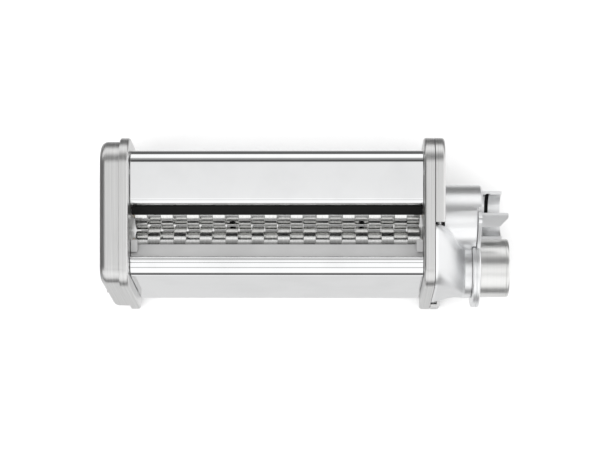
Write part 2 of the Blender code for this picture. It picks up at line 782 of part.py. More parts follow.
NECK_END_X = RING_X - CLEAR
gear_case = bell("gear_case", 0.0, CASE_X, BELL_END_X, "cast")
neck = rod("case_neck", None, BELL_END_X - 2, NECK_END_X, BELL_R, HUB_Y, HUB_Z, 40)
combine(gear_case, neck, "UNION")
barrel_x = RIGHT_CAP_X + CLEAR
barrel = turned(
    "case_barrel",
    None,
    [
        (BARREL_END_X, 0),
        (BARREL_END_X, BARREL_R - 1.0),
        (BARREL_END_X - 1.0, BARREL_R),
        (barrel_x, BARREL_R),
        (barrel_x, 0),
    ],
    BARREL_Y,
    BARREL_Z,
    36,
)
combine(gear_case, barrel, "UNION")
cavity = bell("case_cavity", BELL_WALL, CASE_X - 3, BELL_END_X - BELL_WALL, None)
combine(gear_case, cavity)
post_base = RIGHT_WEB_X + WEB + CLEAR
for tag, (post_y, post_z) in CASE_SCREWS.items():
    post = rod("case_post_" + tag, None, post_base, CASE_X + 6.0, 3.4, post_y, post_z, 14)
    combine(gear_case, post, "UNION")
taps = [(y, z, SCREW_R + 0.25) for y, z in CASE_SCREWS.values()]
combine(gear_case, drills("case_taps", post_base - 2, CASE_X + 4.4, taps, 12))
neck_hole = [(HUB_Y, HUB_Z, NECK_R + CLEAR)]
combine(gear_case, drills("case_neck_bore", neck_left - CLEAR, NECK_END_X + 2, neck_hole, 36))
shaft_hole = [(HUB_Y, HUB_Z, NECK_BORE_R)]
combine(gear_case, drills("case_shaft_bore", BELL_END_X - 6, neck_left + 1, shaft_hole, 24))
barrel_bore_r = BARREL_R - BARREL_WALL
combine(
    gear_case,
    drills("case_barrel_bore", barrel_x + 11.0, BARREL_END_X + 2, [(BARREL_Y, BARREL_Z, barrel_bore_r)], 32),
)
combine(gear_case, drills("case_ring_bay", NECK_END_X, BARREL_END_X + 2, [(HUB_Y, HUB_Z, RING_R + 0.6)], 40))
arm_bay = box("case_arm_bay", None, (ARM_X - 0.65, -30, 20), (BARREL_END_X + 2, 9.4, 56))
combine(gear_case, arm_bay)
for tag, (post_y, post_z) in CASE_SCREWS.items():
    screw("case_screw_" + tag, RIGHT_WEB_X, -1, post_y, post_z, WEB + 6.6)

# Latch guard: an open trough whose rear side runs back into the barrel
GUARD_X = BARREL_END_X + CLEAR
inner_r = GUARD_R - GUARD_SHEET
trough = arc((GUARD_Y, BARREL_Z), GUARD_R, -188, 12, 18)
trough += arc((GUARD_Y, BARREL_Z), inner_r, 12, -188, 18)
guard = prism("latch_guard", "cast", trough, barrel_x + 13.0, GUARD_END_X)
combine(guard, box("guard_step", None, (barrel_x + 8, -20, 10), (GUARD_X, 9.8, 50)))
combine(guard, box("guard_slit", None, (GUARD_X + 2.0, GUARD_Y, 10), (GUARD_X + 3.9, GUARD_Y + 10.9, 50)))

# Locking ring with its arm and bent thumb tab
ring = tube("locking_ring", "cast", RING_X, RING_X + RING_WIDTH, RING_R, NECK_R + 0.35, HUB_Y, HUB_Z, 40)
swing = math.radians(ARM_ANGLE)


def lever_point(radial, tangent):
    y = HUB_Y + radial * math.cos(swing) - tangent * math.sin(swing)
    z = HUB_Z + radial * math.sin(swing) + tangent * math.cos(swing)
    return (y, z)


half_arm = ARM_WIDTH / 2
arm_section = [lever_point(17.0, -half_arm - 1.0), lever_point(ARM_R - 2.0, -half_arm)]
arm_section += [lever_point(ARM_R, -half_arm + 2.0), lever_point(ARM_R, half_arm - 2.0)]
arm_section += [lever_point(ARM_R - 2.0, half_arm), lever_point(17.0, half_arm + 1.0)]
arm = prism("lever_arm", None, arm_section, ARM_X, ARM_X + ARM_SHEET)
combine(ring, arm, "UNION")
TAB_SHEET = 1.8
tab_section = [lever_point(27.6, -half_arm + 0.2), lever_point(35.8, -half_arm + 0.2)]
tab_top = -half_arm + 0.2 + TAB_SHEET
tab_section += [lever_point(35.8, tab_top), lever_point(27.6, tab_top)]
tab = prism("lever_tab", None, tab_section, ARM_X + 0.2, TAB_END_X)
combine(ring, tab, "UNION")


# Feed guides: sloping plates whose teeth reach into the grooves
def feed_guide(name, kind, start, end):
    """A flat strip from start to end (y, z), as long as the covers."""
    slope = Vector(end) - Vector(start)
    across = Vector((-slope.y, slope.x)).normalized() * GUIDE_SHEET / 2
    corners = [Vector(start) + across, Vector(start) - across, Vector(end) - across, Vector(end) + across]
    return prism(name, kind, [tuple(corner) for corner in corners], COVER_LEFT_X, COVER_RIGHT_X)


REAR_COLUMNS = range(0, COLUMNS, 2)
FRONT_COLUMNS = range(1, COLUMNS, 2)
feed_guide("rear_feed_guide", "black", (REAR_EDGE_Y - 0.2, 48.2), (5.6, 44.95))
feed_guide("front_feed_guide", "grey", (LIP_Y - 0.6, 50.1), (-9.6, 45.3))


# Feed cheeks close the slot's ends above the rollers
def feed_cheek(name, x_from, x_to):
    section = [(-13.0, 49.2), (-8.9, 46.0), (-6.9, 45.1), (-6.9, 50.0), (-13.0, 50.0)]
    return prism(name, "grey", section, x_from, x_to)


feed_cheek("left_feed_cheek", COVER_LEFT_X, COVER_LEFT_X + 3.2)
feed_cheek("right_feed_cheek", COVER_RIGHT_X - 3.2, COVER_RIGHT_X)


# Scraper combs: a bar beside each roller with a curved finger in every groove
def scraper_comb(name, axis_y, side, columns):
    finger_low = CORE_R + 0.35
    finger_high = DISC_R + 2.4
    centre = (axis_y, AXIS_Z)
    if side > 0:
        span = (12, -98)
    else:
        span = (168, 278)
    section = arc(centre, finger_high, span[0], span[1], 7)
    section += arc(centre, finger_low, span[1], span[0], 7)
    bar_low = DISC_R + 0.45
    bar_high = finger_high + 0.6
    bar_span = (-8, -62) if side > 0 else (188, 242)
    bar_section = arc(centre, bar_high, bar_span[0], bar_span[1], 4)
    bar_section += arc(centre, bar_low, bar_span[1], bar_span[0], 4)
    bar = prism(name, "grey", bar_section, COVER_LEFT_X, COVER_RIGHT_X, origin=centre)
    mesh = bpy.data.meshes.new(name + "_fingers")
    shape = bmesh.new()
    for column in columns:
        low = ROLLER_X + column * PITCH + 0.45
        high = low + PITCH - 0.9
        rows = []
        for x in (low, high):
            rows.append([shape.verts.new((x * MM, y * MM, z * MM)) for y, z in section])
        count = len(section)
        shape.faces.new(rows[0])
        shape.faces.new(list(reversed(rows[1])))
        for i in range(count):
            nxt = (i + 1) % count
            shape.faces.new((rows[0][nxt], rows[0][i], rows[1][i], rows[1][nxt]))
    bmesh.ops.recalc_face_normals(shape, faces=shape.faces)
    shape.to_mesh(mesh)
    shape.free()
    fingers = place(bpy.data.objects.new(name + "_fingers", mesh), None)
    combine(bar, fingers, "UNION")
    return bar


scraper_comb("front_scraper_comb", FRONT_AXIS_Y, -1, REAR_COLUMNS)
scraper_comb("rear_scraper_comb", REAR_AXIS_Y, 1, FRONT_COLUMNS)
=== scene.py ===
"""Pasta cutter attachment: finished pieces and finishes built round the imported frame."""

import math

import bpy
from bpy.props import FloatProperty, FloatVectorProperty, IntProperty, PointerProperty
from mathutils import Matrix, Vector


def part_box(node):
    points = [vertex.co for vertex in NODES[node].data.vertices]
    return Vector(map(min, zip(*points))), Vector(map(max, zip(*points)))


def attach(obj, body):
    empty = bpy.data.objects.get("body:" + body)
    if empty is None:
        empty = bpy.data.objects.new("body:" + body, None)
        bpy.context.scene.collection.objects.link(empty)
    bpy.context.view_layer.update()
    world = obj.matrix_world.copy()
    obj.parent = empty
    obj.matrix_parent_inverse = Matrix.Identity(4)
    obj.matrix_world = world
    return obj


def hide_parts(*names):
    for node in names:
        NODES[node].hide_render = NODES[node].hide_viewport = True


bl_info = {
    "name": "Pasta cutter attachment",
    "version": (1, 0, 0),
    "blender": (4, 5, 0),
    "location": "View3D > Sidebar > Cutter",
    "description": "Builds the covers, plates, rollers, gear case and finishes of a pasta cutter attachment",
    "category": "Object",
}

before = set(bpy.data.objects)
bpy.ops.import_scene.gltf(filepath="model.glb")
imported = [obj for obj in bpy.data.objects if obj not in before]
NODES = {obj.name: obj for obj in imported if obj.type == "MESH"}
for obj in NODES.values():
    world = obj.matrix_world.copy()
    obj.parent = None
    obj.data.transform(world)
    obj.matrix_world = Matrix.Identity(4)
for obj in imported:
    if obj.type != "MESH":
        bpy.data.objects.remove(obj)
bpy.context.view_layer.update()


def size(name, text, default):
    return FloatProperty(name=name, description=text, default=default, unit="LENGTH", precision=5)


def ratio(name, text, default):
    return FloatProperty(name=name, description=text, default=default)


def tone(name, text, default):
    return FloatVectorProperty(
        name=name, description=text, default=default, subtype="COLOR", size=3, min=0.0, max=1.0
    )


def share(name, text, default):
    return FloatProperty(name=name, description=text, default=default, subtype="FACTOR", min=0.0, max=1.0)


# --- Sizes and colours a user would change


class CutterBodySizes(bpy.types.PropertyGroup):
    """End plates, end caps and covers"""

    height: size("Height", "Height of the end plates", 0.060)
    rear_top_y: size("Rear top", "Y where the top and the rear wall would meet", 0.04675)
    rear_slope: ratio("Rear slope", "Inward lean of the rear wall", 0.22)
    front_top_y: size("Front top", "Y where the top and the front wall would meet", -0.02877)
    front_slope: ratio("Front slope", "Outward lean of the front wall", 0.264)
    rear_radius: size("Rear corner", "Radius of the rear top corner", 0.0129)
    front_radius: size("Front corner", "Radius of the front top corner", 0.0120)
    foot_radius: size("Foot corner", "Radius of the two lower corners", 0.0035)
    left_cap_x: size("Left end", "X of the left cap's face", -0.10215)
    left_web_x: size("Left web", "X of the left plate's inner face", -0.08765)
    right_web_x: size("Right web", "X of the right plate's inner face", 0.05795)
    left_rim: size("Left rim", "Width of the left plate's flange", 0.0047)
    right_rim: size("Right rim", "Width of the right plate's flange", 0.0052)
    right_cap_x: size("Right end", "X of the right cap's face", 0.06835)
    web: size("Web", "Thickness of a plate's flat web", 0.0018)
    sheet: size("Sheet", "Thickness of flanges and cap walls", 0.0015)
    edge_roll: size("Edge roll", "Radius of a plate's inner edge", 0.0012)
    gap: size("Gap", "Gap left between neighbouring parts", 0.0003)
    cover_inset: size("Cover inset", "How far the covers lie inside the plates' outline", 0.0062)
    cover_sheet: size("Cover sheet", "Thickness of the covers", 0.0010)
    cover_gap: size("Cover gap", "Gap between the left plate and the covers", 0.0003)
    rear_edge_y: size("Rear edge", "Y of the rear cover's rolled edge", 0.0101)
    rear_roll: size("Rear roll", "Radius of the rear cover's rolled edge", 0.0034)
    lip_y: size("Lip", "Y of the front cover's beaded lip", -0.0152)
    lip_radius: size("Lip radius", "Radius of the front cover's bead", 0.0017)
    cover_foot: size("Cover foot", "Height of the covers' lower edges", 0.0012)


class CutterRollerSizes(bpy.types.PropertyGroup):
    """The two interleaved cutter rollers"""

    columns: IntProperty(name="Columns", description="Ribbons cut across the rollers", default=22, min=4)
    pitch: size("Pitch", "Width of one ribbon", 0.0065)
    middle_x: size("Middle", "X of the rollers' middle", -0.01485)
    disc: size("Disc radius", "Radius of the cutting discs", 0.0120)
    core: size("Core radius", "Radius at the bottom of the grooves", 0.0095)
    front_y: size("Front axis", "Y of the front roller's axis", -0.0121)
    axis_gap: size("Axis gap", "Distance between the two axes", 0.0220)
    axis_z: size("Axis height", "Height of both axes", 0.0330)
    shaft: size("Shaft radius", "Radius of the roller shafts", 0.0040)
    side_gap: size("Side gap", "Gap on each side of a disc", 0.00015)


class CutterHubSizes(bpy.types.PropertyGroup):
    """Gear case, drive collar, locking ring and latch guard"""

    axis_y: size("Hub Y", "Y of the drive axis", -0.0216)
    axis_z: size("Hub Z", "Height of the drive axis", 0.022716)
    bell_radius: size("Bell radius", "Radius of the bell's round end", 0.0153)
    bell_rear_y: size("Bell rear", "Y of the bell's rear wall at the plate", 0.0016)
    bell_top_z: size("Bell top", "Height of the bell at the plate", 0.0595)
    bell_base_z: size("Bell base", "Height of the bell's underside at the plate", 0.0100)
    bell_end_x: size("Bell end", "X where the bell has become round", 0.07955)
    wall: size("Case wall", "Thickness of the cast wall", 0.0019)
    collar_radius: size("Collar radius", "Outer radius of the drive collar", 0.0148)
    collar_bore: size("Collar bore", "Inner radius of the drive collar", 0.0123)
    collar_end_x: size("Collar end", "X of the collar's mouth", 0.10215)
    neck_x: size("Neck start", "X where the collar's neck begins", 0.0780)
    neck: size("Neck radius", "Radius of the collar's neck", 0.0131)
    neck_bore: size("Neck bore", "Inner radius of the collar's neck", 0.0088)
    ring_x: size("Ring X", "X of the locking ring's near face", 0.08315)
    ring_width: size("Ring width", "Thickness of the locking ring", 0.0037)
    ring_radius: size("Ring radius", "Outer radius of the locking ring", 0.0201)
    barrel_y: size("Barrel Y", "Y of the barrel's axis", 0.0039)
    barrel_z: size("Barrel Z", "Height of the barrel's axis", 0.0320)
    barrel_radius: size("Barrel radius", "Outer radius of the barrel", 0.0165)
    barrel_wall: size("Barrel wall", "Wall of the barrel", 0.0026)
    barrel_end_x: size("Barrel end", "X of the barrel's open end", 0.08785)
    guard_y: size("Guard Y", "Y of the latch guard's axis", 0.0052)
    guard_radius: size("Guard radius", "Outer radius of the latch guard", 0.0122)
    guard_sheet: size("Guard wall", "Wall of the latch guard", 0.0015)
    guard_end_x: size("Guard end", "X of the latch guard's end", 0.09805)
    arm_x: size("Arm X", "X of the lever arm's near face", 0.0852)
    arm_sheet: size("Arm thickness", "Thickness of the lever arm", 0.00165)
    arm_width: size("Arm width", "Width of the lever arm", 0.0080)
    arm_root: size("Arm root", "Where the lever arm starts inside the ring", 0.0170)
    arm_radius: size("Arm reach", "Reach of the lever arm from the drive axis", 0.0385)
    tab_end_x: size("Tab end", "X of the thumb tab's tip", 0.10025)
    tab_from: size("Tab inner edge", "Distance of the thumb tab's inner edge from the drive axis", 0.0276)
    tab_to: size("Tab outer edge", "Distance of the thumb tab's outer edge from the drive axis", 0.0358)
    tab_sheet: size("Tab thickness", "Thickness of the thumb tab", 0.0018)
    tang: size("Tang", "Width of the square drive tang across flats", 0.0090)
    tang_x: size("Tang start", "X where the square tang begins", 0.0902)
    tang_end_x: size("Tang end", "X of the tang's tip", 0.0984)


class CutterFinishes(bpy.types.PropertyGroup):
    """Colours and polish of the finishes"""

    chrome: tone("Chrome", "Colour of the bright covers", (0.84, 0.845, 0.85))
    chrome_polish: share("Chrome roughness", "Roughness of the bright covers", 0.05)
    plate: tone("Plates", "Colour of the brushed plates and caps", (0.70, 0.70, 0.695))
    plate_polish: share("Plate roughness", "Roughness of the brushed plates", 0.33)
    roller: tone("Rollers", "Colour of the turned rollers", (0.80, 0.80, 0.79))
    roller_polish: share("Roller roughness", "Roughness of the turned rollers", 0.16)
    collar_polish: share("Collar roughness", "Roughness of the drive collar", 0.32)
    cast: tone("Cast", "Colour of the die-cast gear case", (0.76, 0.765, 0.77))
    cast_polish: share("Cast roughness", "Roughness of the die-cast gear case", 0.33)
    guide: tone("Guide", "Colour of the feed guides", (0.42, 0.42, 0.42))
    # Dark also serves as painted shade: the rear feed guide and the strip under the latch slit are near-black
    # for the shadow they lie in.
    dark: tone("Dark", "Colour of the blackened small parts", (0.008, 0.008, 0.008))
    steel: tone("Steel", "Colour of shafts, screws and gears", (0.52, 0.52, 0.52))
    steel_polish: share("Steel roughness", "Roughness of shafts, screws and gears", 0.30)
    bronze: tone("Bronze", "Colour of the bushings", (0.62, 0.44, 0.22))
    bronze_polish: share("Bronze roughness", "Roughness of the bushings", 0.36)
    floor: tone("Floor", "Colour of the floor", (0.95, 0.95, 0.95))


# --- Modelling helpers


def deselect():
    if bpy.context.object and bpy.context.object.mode != "OBJECT":
        bpy.ops.object.mode_set(mode="OBJECT")
    bpy.ops.object.select_all(action="DESELECT")


def pick(obj):
    deselect()
    obj.select_set(True)
    bpy.context.view_layer.objects.active = obj


def run_of_edges(points):
    """In edit mode, adds a vertex at the first point and extrudes it from point to point."""
    bpy.ops.mesh.select_mode(type="VERT")
    bpy.ops.mesh.select_all(action="DESELECT")
    bpy.ops.mesh.primitive_plane_add(size=0.001, location=points[0])
    bpy.ops.mesh.merge(type="CENTER")
    for here, there in zip(points, points[1:]):
        step = Vector(there) - Vector(here)
        bpy.ops.mesh.extrude_region_move(TRANSFORM_OT_translate={"value": step})


def wire(name, points):
    """A new mesh that holds one run of edges; it is left in edit mode."""
    deselect()
    bpy.ops.mesh.primitive_plane_add(size=0.001, location=(0, 0, 0))
    obj = bpy.context.object
    obj.name = name
    obj.data.name = name
    bpy.ops.object.mode_set(mode="EDIT")
    bpy.ops.mesh.delete(type="VERT")
    run_of_edges(points)
    return obj


def face_outwards():
    bpy.ops.mesh.select_all(action="SELECT")
    bpy.ops.mesh.remove_doubles(threshold=0.000002)
    bpy.ops.mesh.normals_make_consistent(inside=False)
    bpy.ops.object.mode_set(mode="OBJECT")


def slab(name, section, x_from, x_to):
    """A closed (y, z) outline filled and extruded along X."""
    obj = wire(name, [(x_from, y, z) for y, z in section])
    bpy.ops.mesh.select_all(action="SELECT")
    bpy.ops.mesh.edge_face_add()
    bpy.ops.mesh.extrude_region_move(TRANSFORM_OT_translate={"value": (x_to - x_from, 0, 0)})
    face_outwards()
    return obj


def turned(name, profile, y, z, steps=96, closed=True):
    """An (x, r) profile spun about the line through (y, z) along X."""
    loop = list(profile) + [profile[0]] if closed else profile
    obj = wire(name, [(x, y + r, z) for x, r in loop])
    bpy.ops.mesh.select_all(action="SELECT")
    bpy.ops.mesh.remove_doubles(threshold=0.000002)
    bpy.ops.mesh.spin(steps=steps, angle=math.tau, center=(0, y, z), axis=(1, 0, 0))
    face_outwards()
    return obj


def loft(name, rings):
    """Closed outlines of (x, [(y, z), ...]) bridged into one skin and filled at both ends."""
    loops = [[(x, y, z) for y, z in outline + outline[:1]] for x, outline in rings]
    obj = wire(name, loops[0])
    for loop in loops[1:]:
        run_of_edges(loop)
    bpy.ops.mesh.select_all(action="SELECT")
    bpy.ops.mesh.remove_doubles(threshold=0.000002)
    bpy.ops.mesh.select_all(action="SELECT")
    bpy.ops.mesh.bridge_edge_loops(type="SINGLE")
    bpy.ops.mesh.select_mode(type="EDGE")
    bpy.ops.mesh.select_all(action="DESELECT")
    bpy.ops.mesh.select_non_manifold(extend=False)
    bpy.ops.mesh.fill_holes(sides=0)
    face_outwards()
    return obj


def drill(x_from, x_to, y, z, radius, steps=48):
    deselect()
    bpy.ops.mesh.primitive_cylinder_add(
        vertices=steps,
        radius=radius,
        depth=x_to - x_from,
        location=((x_from + x_to) / 2, y, z),
        rotation=(0, math.pi / 2, 0),
    )
    return bpy.context.object


def block(low, high):
    deselect()
    middle = (Vector(low) + Vector(high)) / 2
    bpy.ops.mesh.primitive_cube_add(size=1, location=middle, scale=Vector(high) - Vector(low))
    return bpy.context.object


def combine(obj, tool, operation="DIFFERENCE"):
    step = obj.modifiers.new("Combine", "BOOLEAN")
    step.operation = operation
    step.solver = "EXACT"
    step.object = tool
    pick(obj)
    bpy.ops.object.modifier_apply(modifier=step.name)
    bpy.data.objects.remove(tool)


def soften(obj, width, segments=3, degrees=32):
    step = obj.modifiers.new("Edges", "BEVEL")
    step.width = width
    step.segments = segments
    step.limit_method = "ANGLE"
    step.angle_limit = math.radians(degrees)
    step.miter_outer = "MITER_ARC"
    pick(obj)
    bpy.ops.object.modifier_apply(modifier=step.name)


def settle(obj):
    """Gives flat faces their own true normals, so that rounded edges don't shade into them."""
    step = obj.modifiers.new("Normals", "WEIGHTED_NORMAL")
    step.keep_sharp = True
    step.weight = 60
    pick(obj)
    bpy.ops.object.modifier_apply(modifier=step.name)


def hand_over(obj, material, body, slot, *nodes, degrees=30):
    """Puts the finished piece at the origin, shades it and lets it stand for its CAD nodes."""
    pick(obj)
    bpy.ops.object.transform_apply(location=True, rotation=True, scale=True)
    bpy.ops.object.shade_smooth_by_angle(angle=math.radians(degrees))
    settle(obj)
    obj.data.materials.clear()
    obj.data.materials.append(finish(material))
    if nodes:
        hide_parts(*nodes)
    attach(obj, body)


def arc(centre, radius, start, end, steps):
    """(y, z) points from angle start to end, in degrees from +Y toward +Z."""
    turn = [math.radians(start + (end - start) * i / steps) for i in range(steps + 1)]
    return [(centre[0] + radius * math.cos(a), centre[1] + radius * math.sin(a)) for a in turn]


def rounded(corners, steps=14):
    """The outline of a polygon of (y, z, radius) corners, each replaced by an arc."""
    points = []
    count = len(corners)
    for i, (y, z, radius) in enumerate(corners):
        corner = Vector((y, z))
        before = (Vector(corners[i - 1][:2]) - corner).normalized()
        after = (Vector(corners[(i + 1) % count][:2]) - corner).normalized()
        half = before.angle(after) / 2
        centre = corner + (before + after).normalized() * radius / math.sin(half)
        start = corner + before * radius / math.tan(half) - centre
        end = corner + after * radius / math.tan(half) - centre
        turn = -start.angle_signed(end)
        for k in range(steps + 1):
            spoke = start.copy()
            spoke.rotate(Matrix.Rotation(turn * k / steps, 2))
            points.append(tuple(centre + spoke))
    return points


def plate_corners(inset):
    b = bpy.context.scene.cutter_body
    top = b.height - inset

    def rear(z):
        return b.rear_top_y - (b.height - z) * b.rear_slope - inset * math.hypot(1, b.rear_slope)

    def front(z):
        return b.front_top_y - (b.height - z) * b.front_slope + inset * math.hypot(1, b.front_slope)

    def radius(r):
        return max(r - inset, 0.0006)

    return [
        (rear(inset), inset, radius(b.foot_radius)),
        (rear(top), top, radius(b.rear_radius)),
        (front(top), top, radius(b.front_radius)),
        (front(inset), inset, radius(b.foot_radius)),
    ]


def bent_sheet(line, thickness):
    """Closed section of a bent sheet: an open line and its copy moved to the line's right."""
    shifted = []
    for i, point in enumerate(line):
        here = Vector(point)
        back = (here - Vector(line[i - 1])).normalized() if i else None
        ahead = (Vector(line[i + 1]) - here).normalized() if i + 1 < len(line) else None
        back = back or ahead
        ahead = ahead or back
        across = Vector((back.y + ahead.y, -back.x - ahead.x)).normalized()
        reach = thickness / max(across.dot(Vector((back.y, -back.x))), 0.5)
        shifted.append(tuple(here + across * reach))
    return list(line) + shifted[::-1]


# --- Shader groups and finishes


def put(tree, kind, inputs=(), **settings):
    """Adds a node with its settings; an input given a socket is linked to it, any other is set."""
    added = tree.nodes.new("ShaderNode" + kind)
    for label, value in settings.items():
        setattr(added, label, value)
    for label, value in dict(inputs).items():
        if isinstance(value, bpy.types.NodeSocket):
            tree.links.new(value, added.inputs[label])
        else:
            added.inputs[label].default_value = value
    return added


def new_group(name, inputs):
    """An empty group with these inputs and one output, Mask; gives the group and its input sockets."""
    group = bpy.data.node_groups.new(name, "ShaderNodeTree")
    for label, kind, default in inputs:
        socket = group.interface.new_socket(name=label, in_out="INPUT", socket_type=kind)
        socket.default_value = default
    group.interface.new_socket(name="Mask", in_out="OUTPUT", socket_type="NodeSocketFloat")
    return group, group.nodes.new("NodeGroupInput").outputs


def give_mask(group, socket):
    group.links.new(socket, group.nodes.new("NodeGroupOutput").inputs["Mask"])
    return group


def grain_group():
    """Noise stretched by a scale on each axis: brushed lines, turned rings or cast grain."""
    group, given = new_group(
        "Metal grain",
        [
            ("Across", "NodeSocketVector", (1.0, 1.0, 1.0)),
            ("Detail", "NodeSocketFloat", 4.0),
            ("Low", "NodeSocketFloat", 0.35),
            ("High", "NodeSocketFloat", 0.65),
        ],
    )
    place = put(group, "TexCoord").outputs["Object"]
    stretch = put(group, "VectorMath", {0: place, 1: given["Across"]}, operation="MULTIPLY")
    lines = {"Vector": stretch.outputs[0], "Scale": 1.0, "Detail": given["Detail"], "Roughness": 0.6}
    noise = put(group, "TexNoise", lines)
    levels = {"Value": noise.outputs["Fac"], "From Min": given["Low"], "From Max": given["High"]}
    return give_mask(group, put(group, "MapRange", levels).outputs["Result"])


def handling_group():
    """Faint cloudy marks left by handling and wiping."""
    group, given = new_group(
        "Handling marks", [("Size", "NodeSocketFloat", 60.0), ("Amount", "NodeSocketFloat", 0.5)]
    )
    place = put(group, "TexCoord").outputs["Object"]
    cloud = put(group, "TexNoise", {"Vector": place, "Scale": given["Size"], "Detail": 3.0})
    levels = put(group, "MapRange", {"Value": cloud.outputs["Fac"], "From Min": 0.42, "From Max": 0.70})
    marks = {0: levels.outputs["Result"], 1: given["Amount"]}
    return give_mask(group, put(group, "Math", marks, operation="MULTIPLY").outputs["Value"])


def edge_wear_and_highlight_group():
    """Where the surface turns sharply outward, so that edges come up brighter: partly rubbed wear, partly a
    painted highlight on the bevels.
    """
    group, given = new_group("Edge wear", [("Reach", "NodeSocketFloat", 0.10)])
    flat = 0.5
    full = put(group, "Math", {0: flat, 1: given["Reach"]}, operation="ADD").outputs["Value"]
    shape = put(group, "NewGeometry").outputs["Pointiness"]
    levels = {"Value": shape, "From Min": flat + 0.02, "From Max": full}
    return give_mask(group, put(group, "MapRange", levels).outputs["Result"])


GROUP_MAKERS = {"Metal grain": grain_group, "Handling marks": handling_group, "Edge wear": edge_wear_and_highlight_group}


def effect(tree, name, **values):
    """Places a shared group in a material's tree with its own values and gives its Mask output."""
    group = bpy.data.node_groups.get(name) or GROUP_MAKERS[name]()
    placed = put(tree, "Group", node_tree=group)
    for label, value in values.items():
        placed.inputs[label].default_value = value
    return placed.outputs["Mask"]


def mixed(tree, mask, low, high):
    """A colour that runs from low to high as the mask runs from 0 to 1."""
    ends = {"Factor": mask, "A": low, "B": high}
    return put(tree, "Mix", ends, data_type="RGBA").outputs["Result"]


def between(tree, mask, low, high):
    """A value that runs from low to high as the mask runs from 0 to 1."""
    return put(tree, "MapRange", {"Value": mask, "To Min": low, "To Max": high}).outputs["Result"]


def shaded(colour, share_of_light):
    return (*[min(part * share_of_light, 1.0) for part in colour], 1.0)


def surface(name, metallic, roughness, specular=0.5):
    made = bpy.data.materials.new(name)
    made.use_nodes = True
    shader = made.node_tree.nodes["Principled BSDF"]
    shader.inputs["Metallic"].default_value = metallic
    shader.inputs["Roughness"].default_value = roughness
    shader.inputs["Specular IOR Level"].default_value = specular
    return made, made.node_tree, shader


def dress(tree, shader, colour, roughness, height, depth):
    """Feeds the shader its colour and roughness, and its relief from a height mask."""
    bump = put(tree, "Bump", {"Distance": depth, "Strength": 1.0, "Height": height})
    tree.links.new(colour, shader.inputs["Base Color"])
    tree.links.new(roughness, shader.inputs["Roughness"])
    tree.links.new(bump.outputs["Normal"], shader.inputs["Normal"])


def chrome_finish():
    f = bpy.context.scene.cutter_finish
    made, tree, shader = surface("Bright chrome", 1.0, f.chrome_polish)
    marks = effect(tree, "Handling marks", Size=45.0, Amount=1.0)
    waves = effect(tree, "Metal grain", Across=(9.0, 30.0, 30.0), Detail=1.0, Low=0.2, High=0.8)
    colour = mixed(tree, marks, shaded(f.chrome, 1.02), shaded(f.chrome, 0.96))
    roughness = between(tree, marks, f.chrome_polish * 0.8, f.chrome_polish * 1.7)
    dress(tree, shader, colour, roughness, waves, 0.00006)
    return made


# Name, colour, roughness, grain along each axis, grain depth, darkest and brightest streak
BRUSHED = {
    "plate": ("Brushed plate", "plate", "plate_polish", (2600.0, 14.0, 14.0), 0.000008, 0.84, 1.10),
    "roller": ("Turned roller", "roller", "roller_polish", (3000.0, 260.0, 260.0), 0.000004, 0.84, 1.10),
    "collar": ("Turned collar", "roller", "collar_polish", (2200.0, 18.0, 18.0), 0.000002, 0.95, 1.05),
    "steel": ("Plain steel", "steel", "steel_polish", (900.0, 900.0, 900.0), 0.000005, 0.84, 1.10),
    "bronze": ("Bearing bronze", "bronze", "bronze_polish", (700.0, 700.0, 700.0), 0.000006, 0.84, 1.10),
}


def brushed_finish(kind):
    f = bpy.context.scene.cutter_finish
    name, colour, roughness, across, depth, dark, bright = BRUSHED[kind]
    colour, roughness = getattr(f, colour), getattr(f, roughness)
    made, tree, shader = surface(name, 1.0, roughness)
    lines = effect(tree, "Metal grain", Across=across, Detail=6.0, Low=0.30, High=0.70)
    marks = effect(tree, "Handling marks", Size=38.0, Amount=0.6)
    edges = effect(tree, "Edge wear", Reach=0.30)
    streaked = mixed(tree, lines, shaded(colour, dark), shaded(colour, bright))
    # Convex edges take a brighter copy of the colour: partly rubbed wear, partly a painted highlight.
    worn_and_highlit = mixed(tree, edges, streaked, shaded(colour, 1.18))
    lined = between(tree, lines, roughness * 0.88, roughness * 1.15)
    dulled = put(tree, "Math", {0: lined, 1: between(tree, marks, 0.0, 0.06)}, operation="ADD")
    dress(tree, shader, worn_and_highlit, dulled.outputs["Value"], lines, depth)
    return made


def cast_finish():
    f = bpy.context.scene.cutter_finish
    made, tree, shader = surface("Satin cast", 0.94, f.cast_polish)
    skin = effect(tree, "Metal grain", Across=(900.0, 900.0, 900.0), Detail=3.0, Low=0.30, High=0.70)
    marks = effect(tree, "Handling marks", Size=30.0, Amount=0.8)
    edges = effect(tree, "Edge wear", Reach=0.14)
    base = mixed(tree, marks, shaded(f.cast, 1.03), shaded(f.cast, 0.94))
    # Convex edges take a brighter copy of the colour: partly rubbed wear, partly a painted highlight.
    colour = mixed(tree, edges, base, shaded(f.cast, 1.15))
    roughness = between(tree, skin, f.cast_polish * 0.9, f.cast_polish * 1.15)
    dress(tree, shader, colour, roughness, skin, 0.000003)
    return made


def plastic_finish(name, colour, roughness, specular=0.5):
    made, tree, shader = surface(name, 0.0, roughness, specular)
    skin = effect(tree, "Metal grain", Across=(1500.0, 1500.0, 1500.0), Detail=3.0, Low=0.3, High=0.7)
    marks = effect(tree, "Handling marks", Size=50.0, Amount=0.7)
    clouded = mixed(tree, marks, shaded(colour, 1.04), shaded(colour, 0.92))
    dress(tree, shader, clouded, between(tree, skin, roughness * 0.85, roughness * 1.15), skin, 0.00001)
    return made


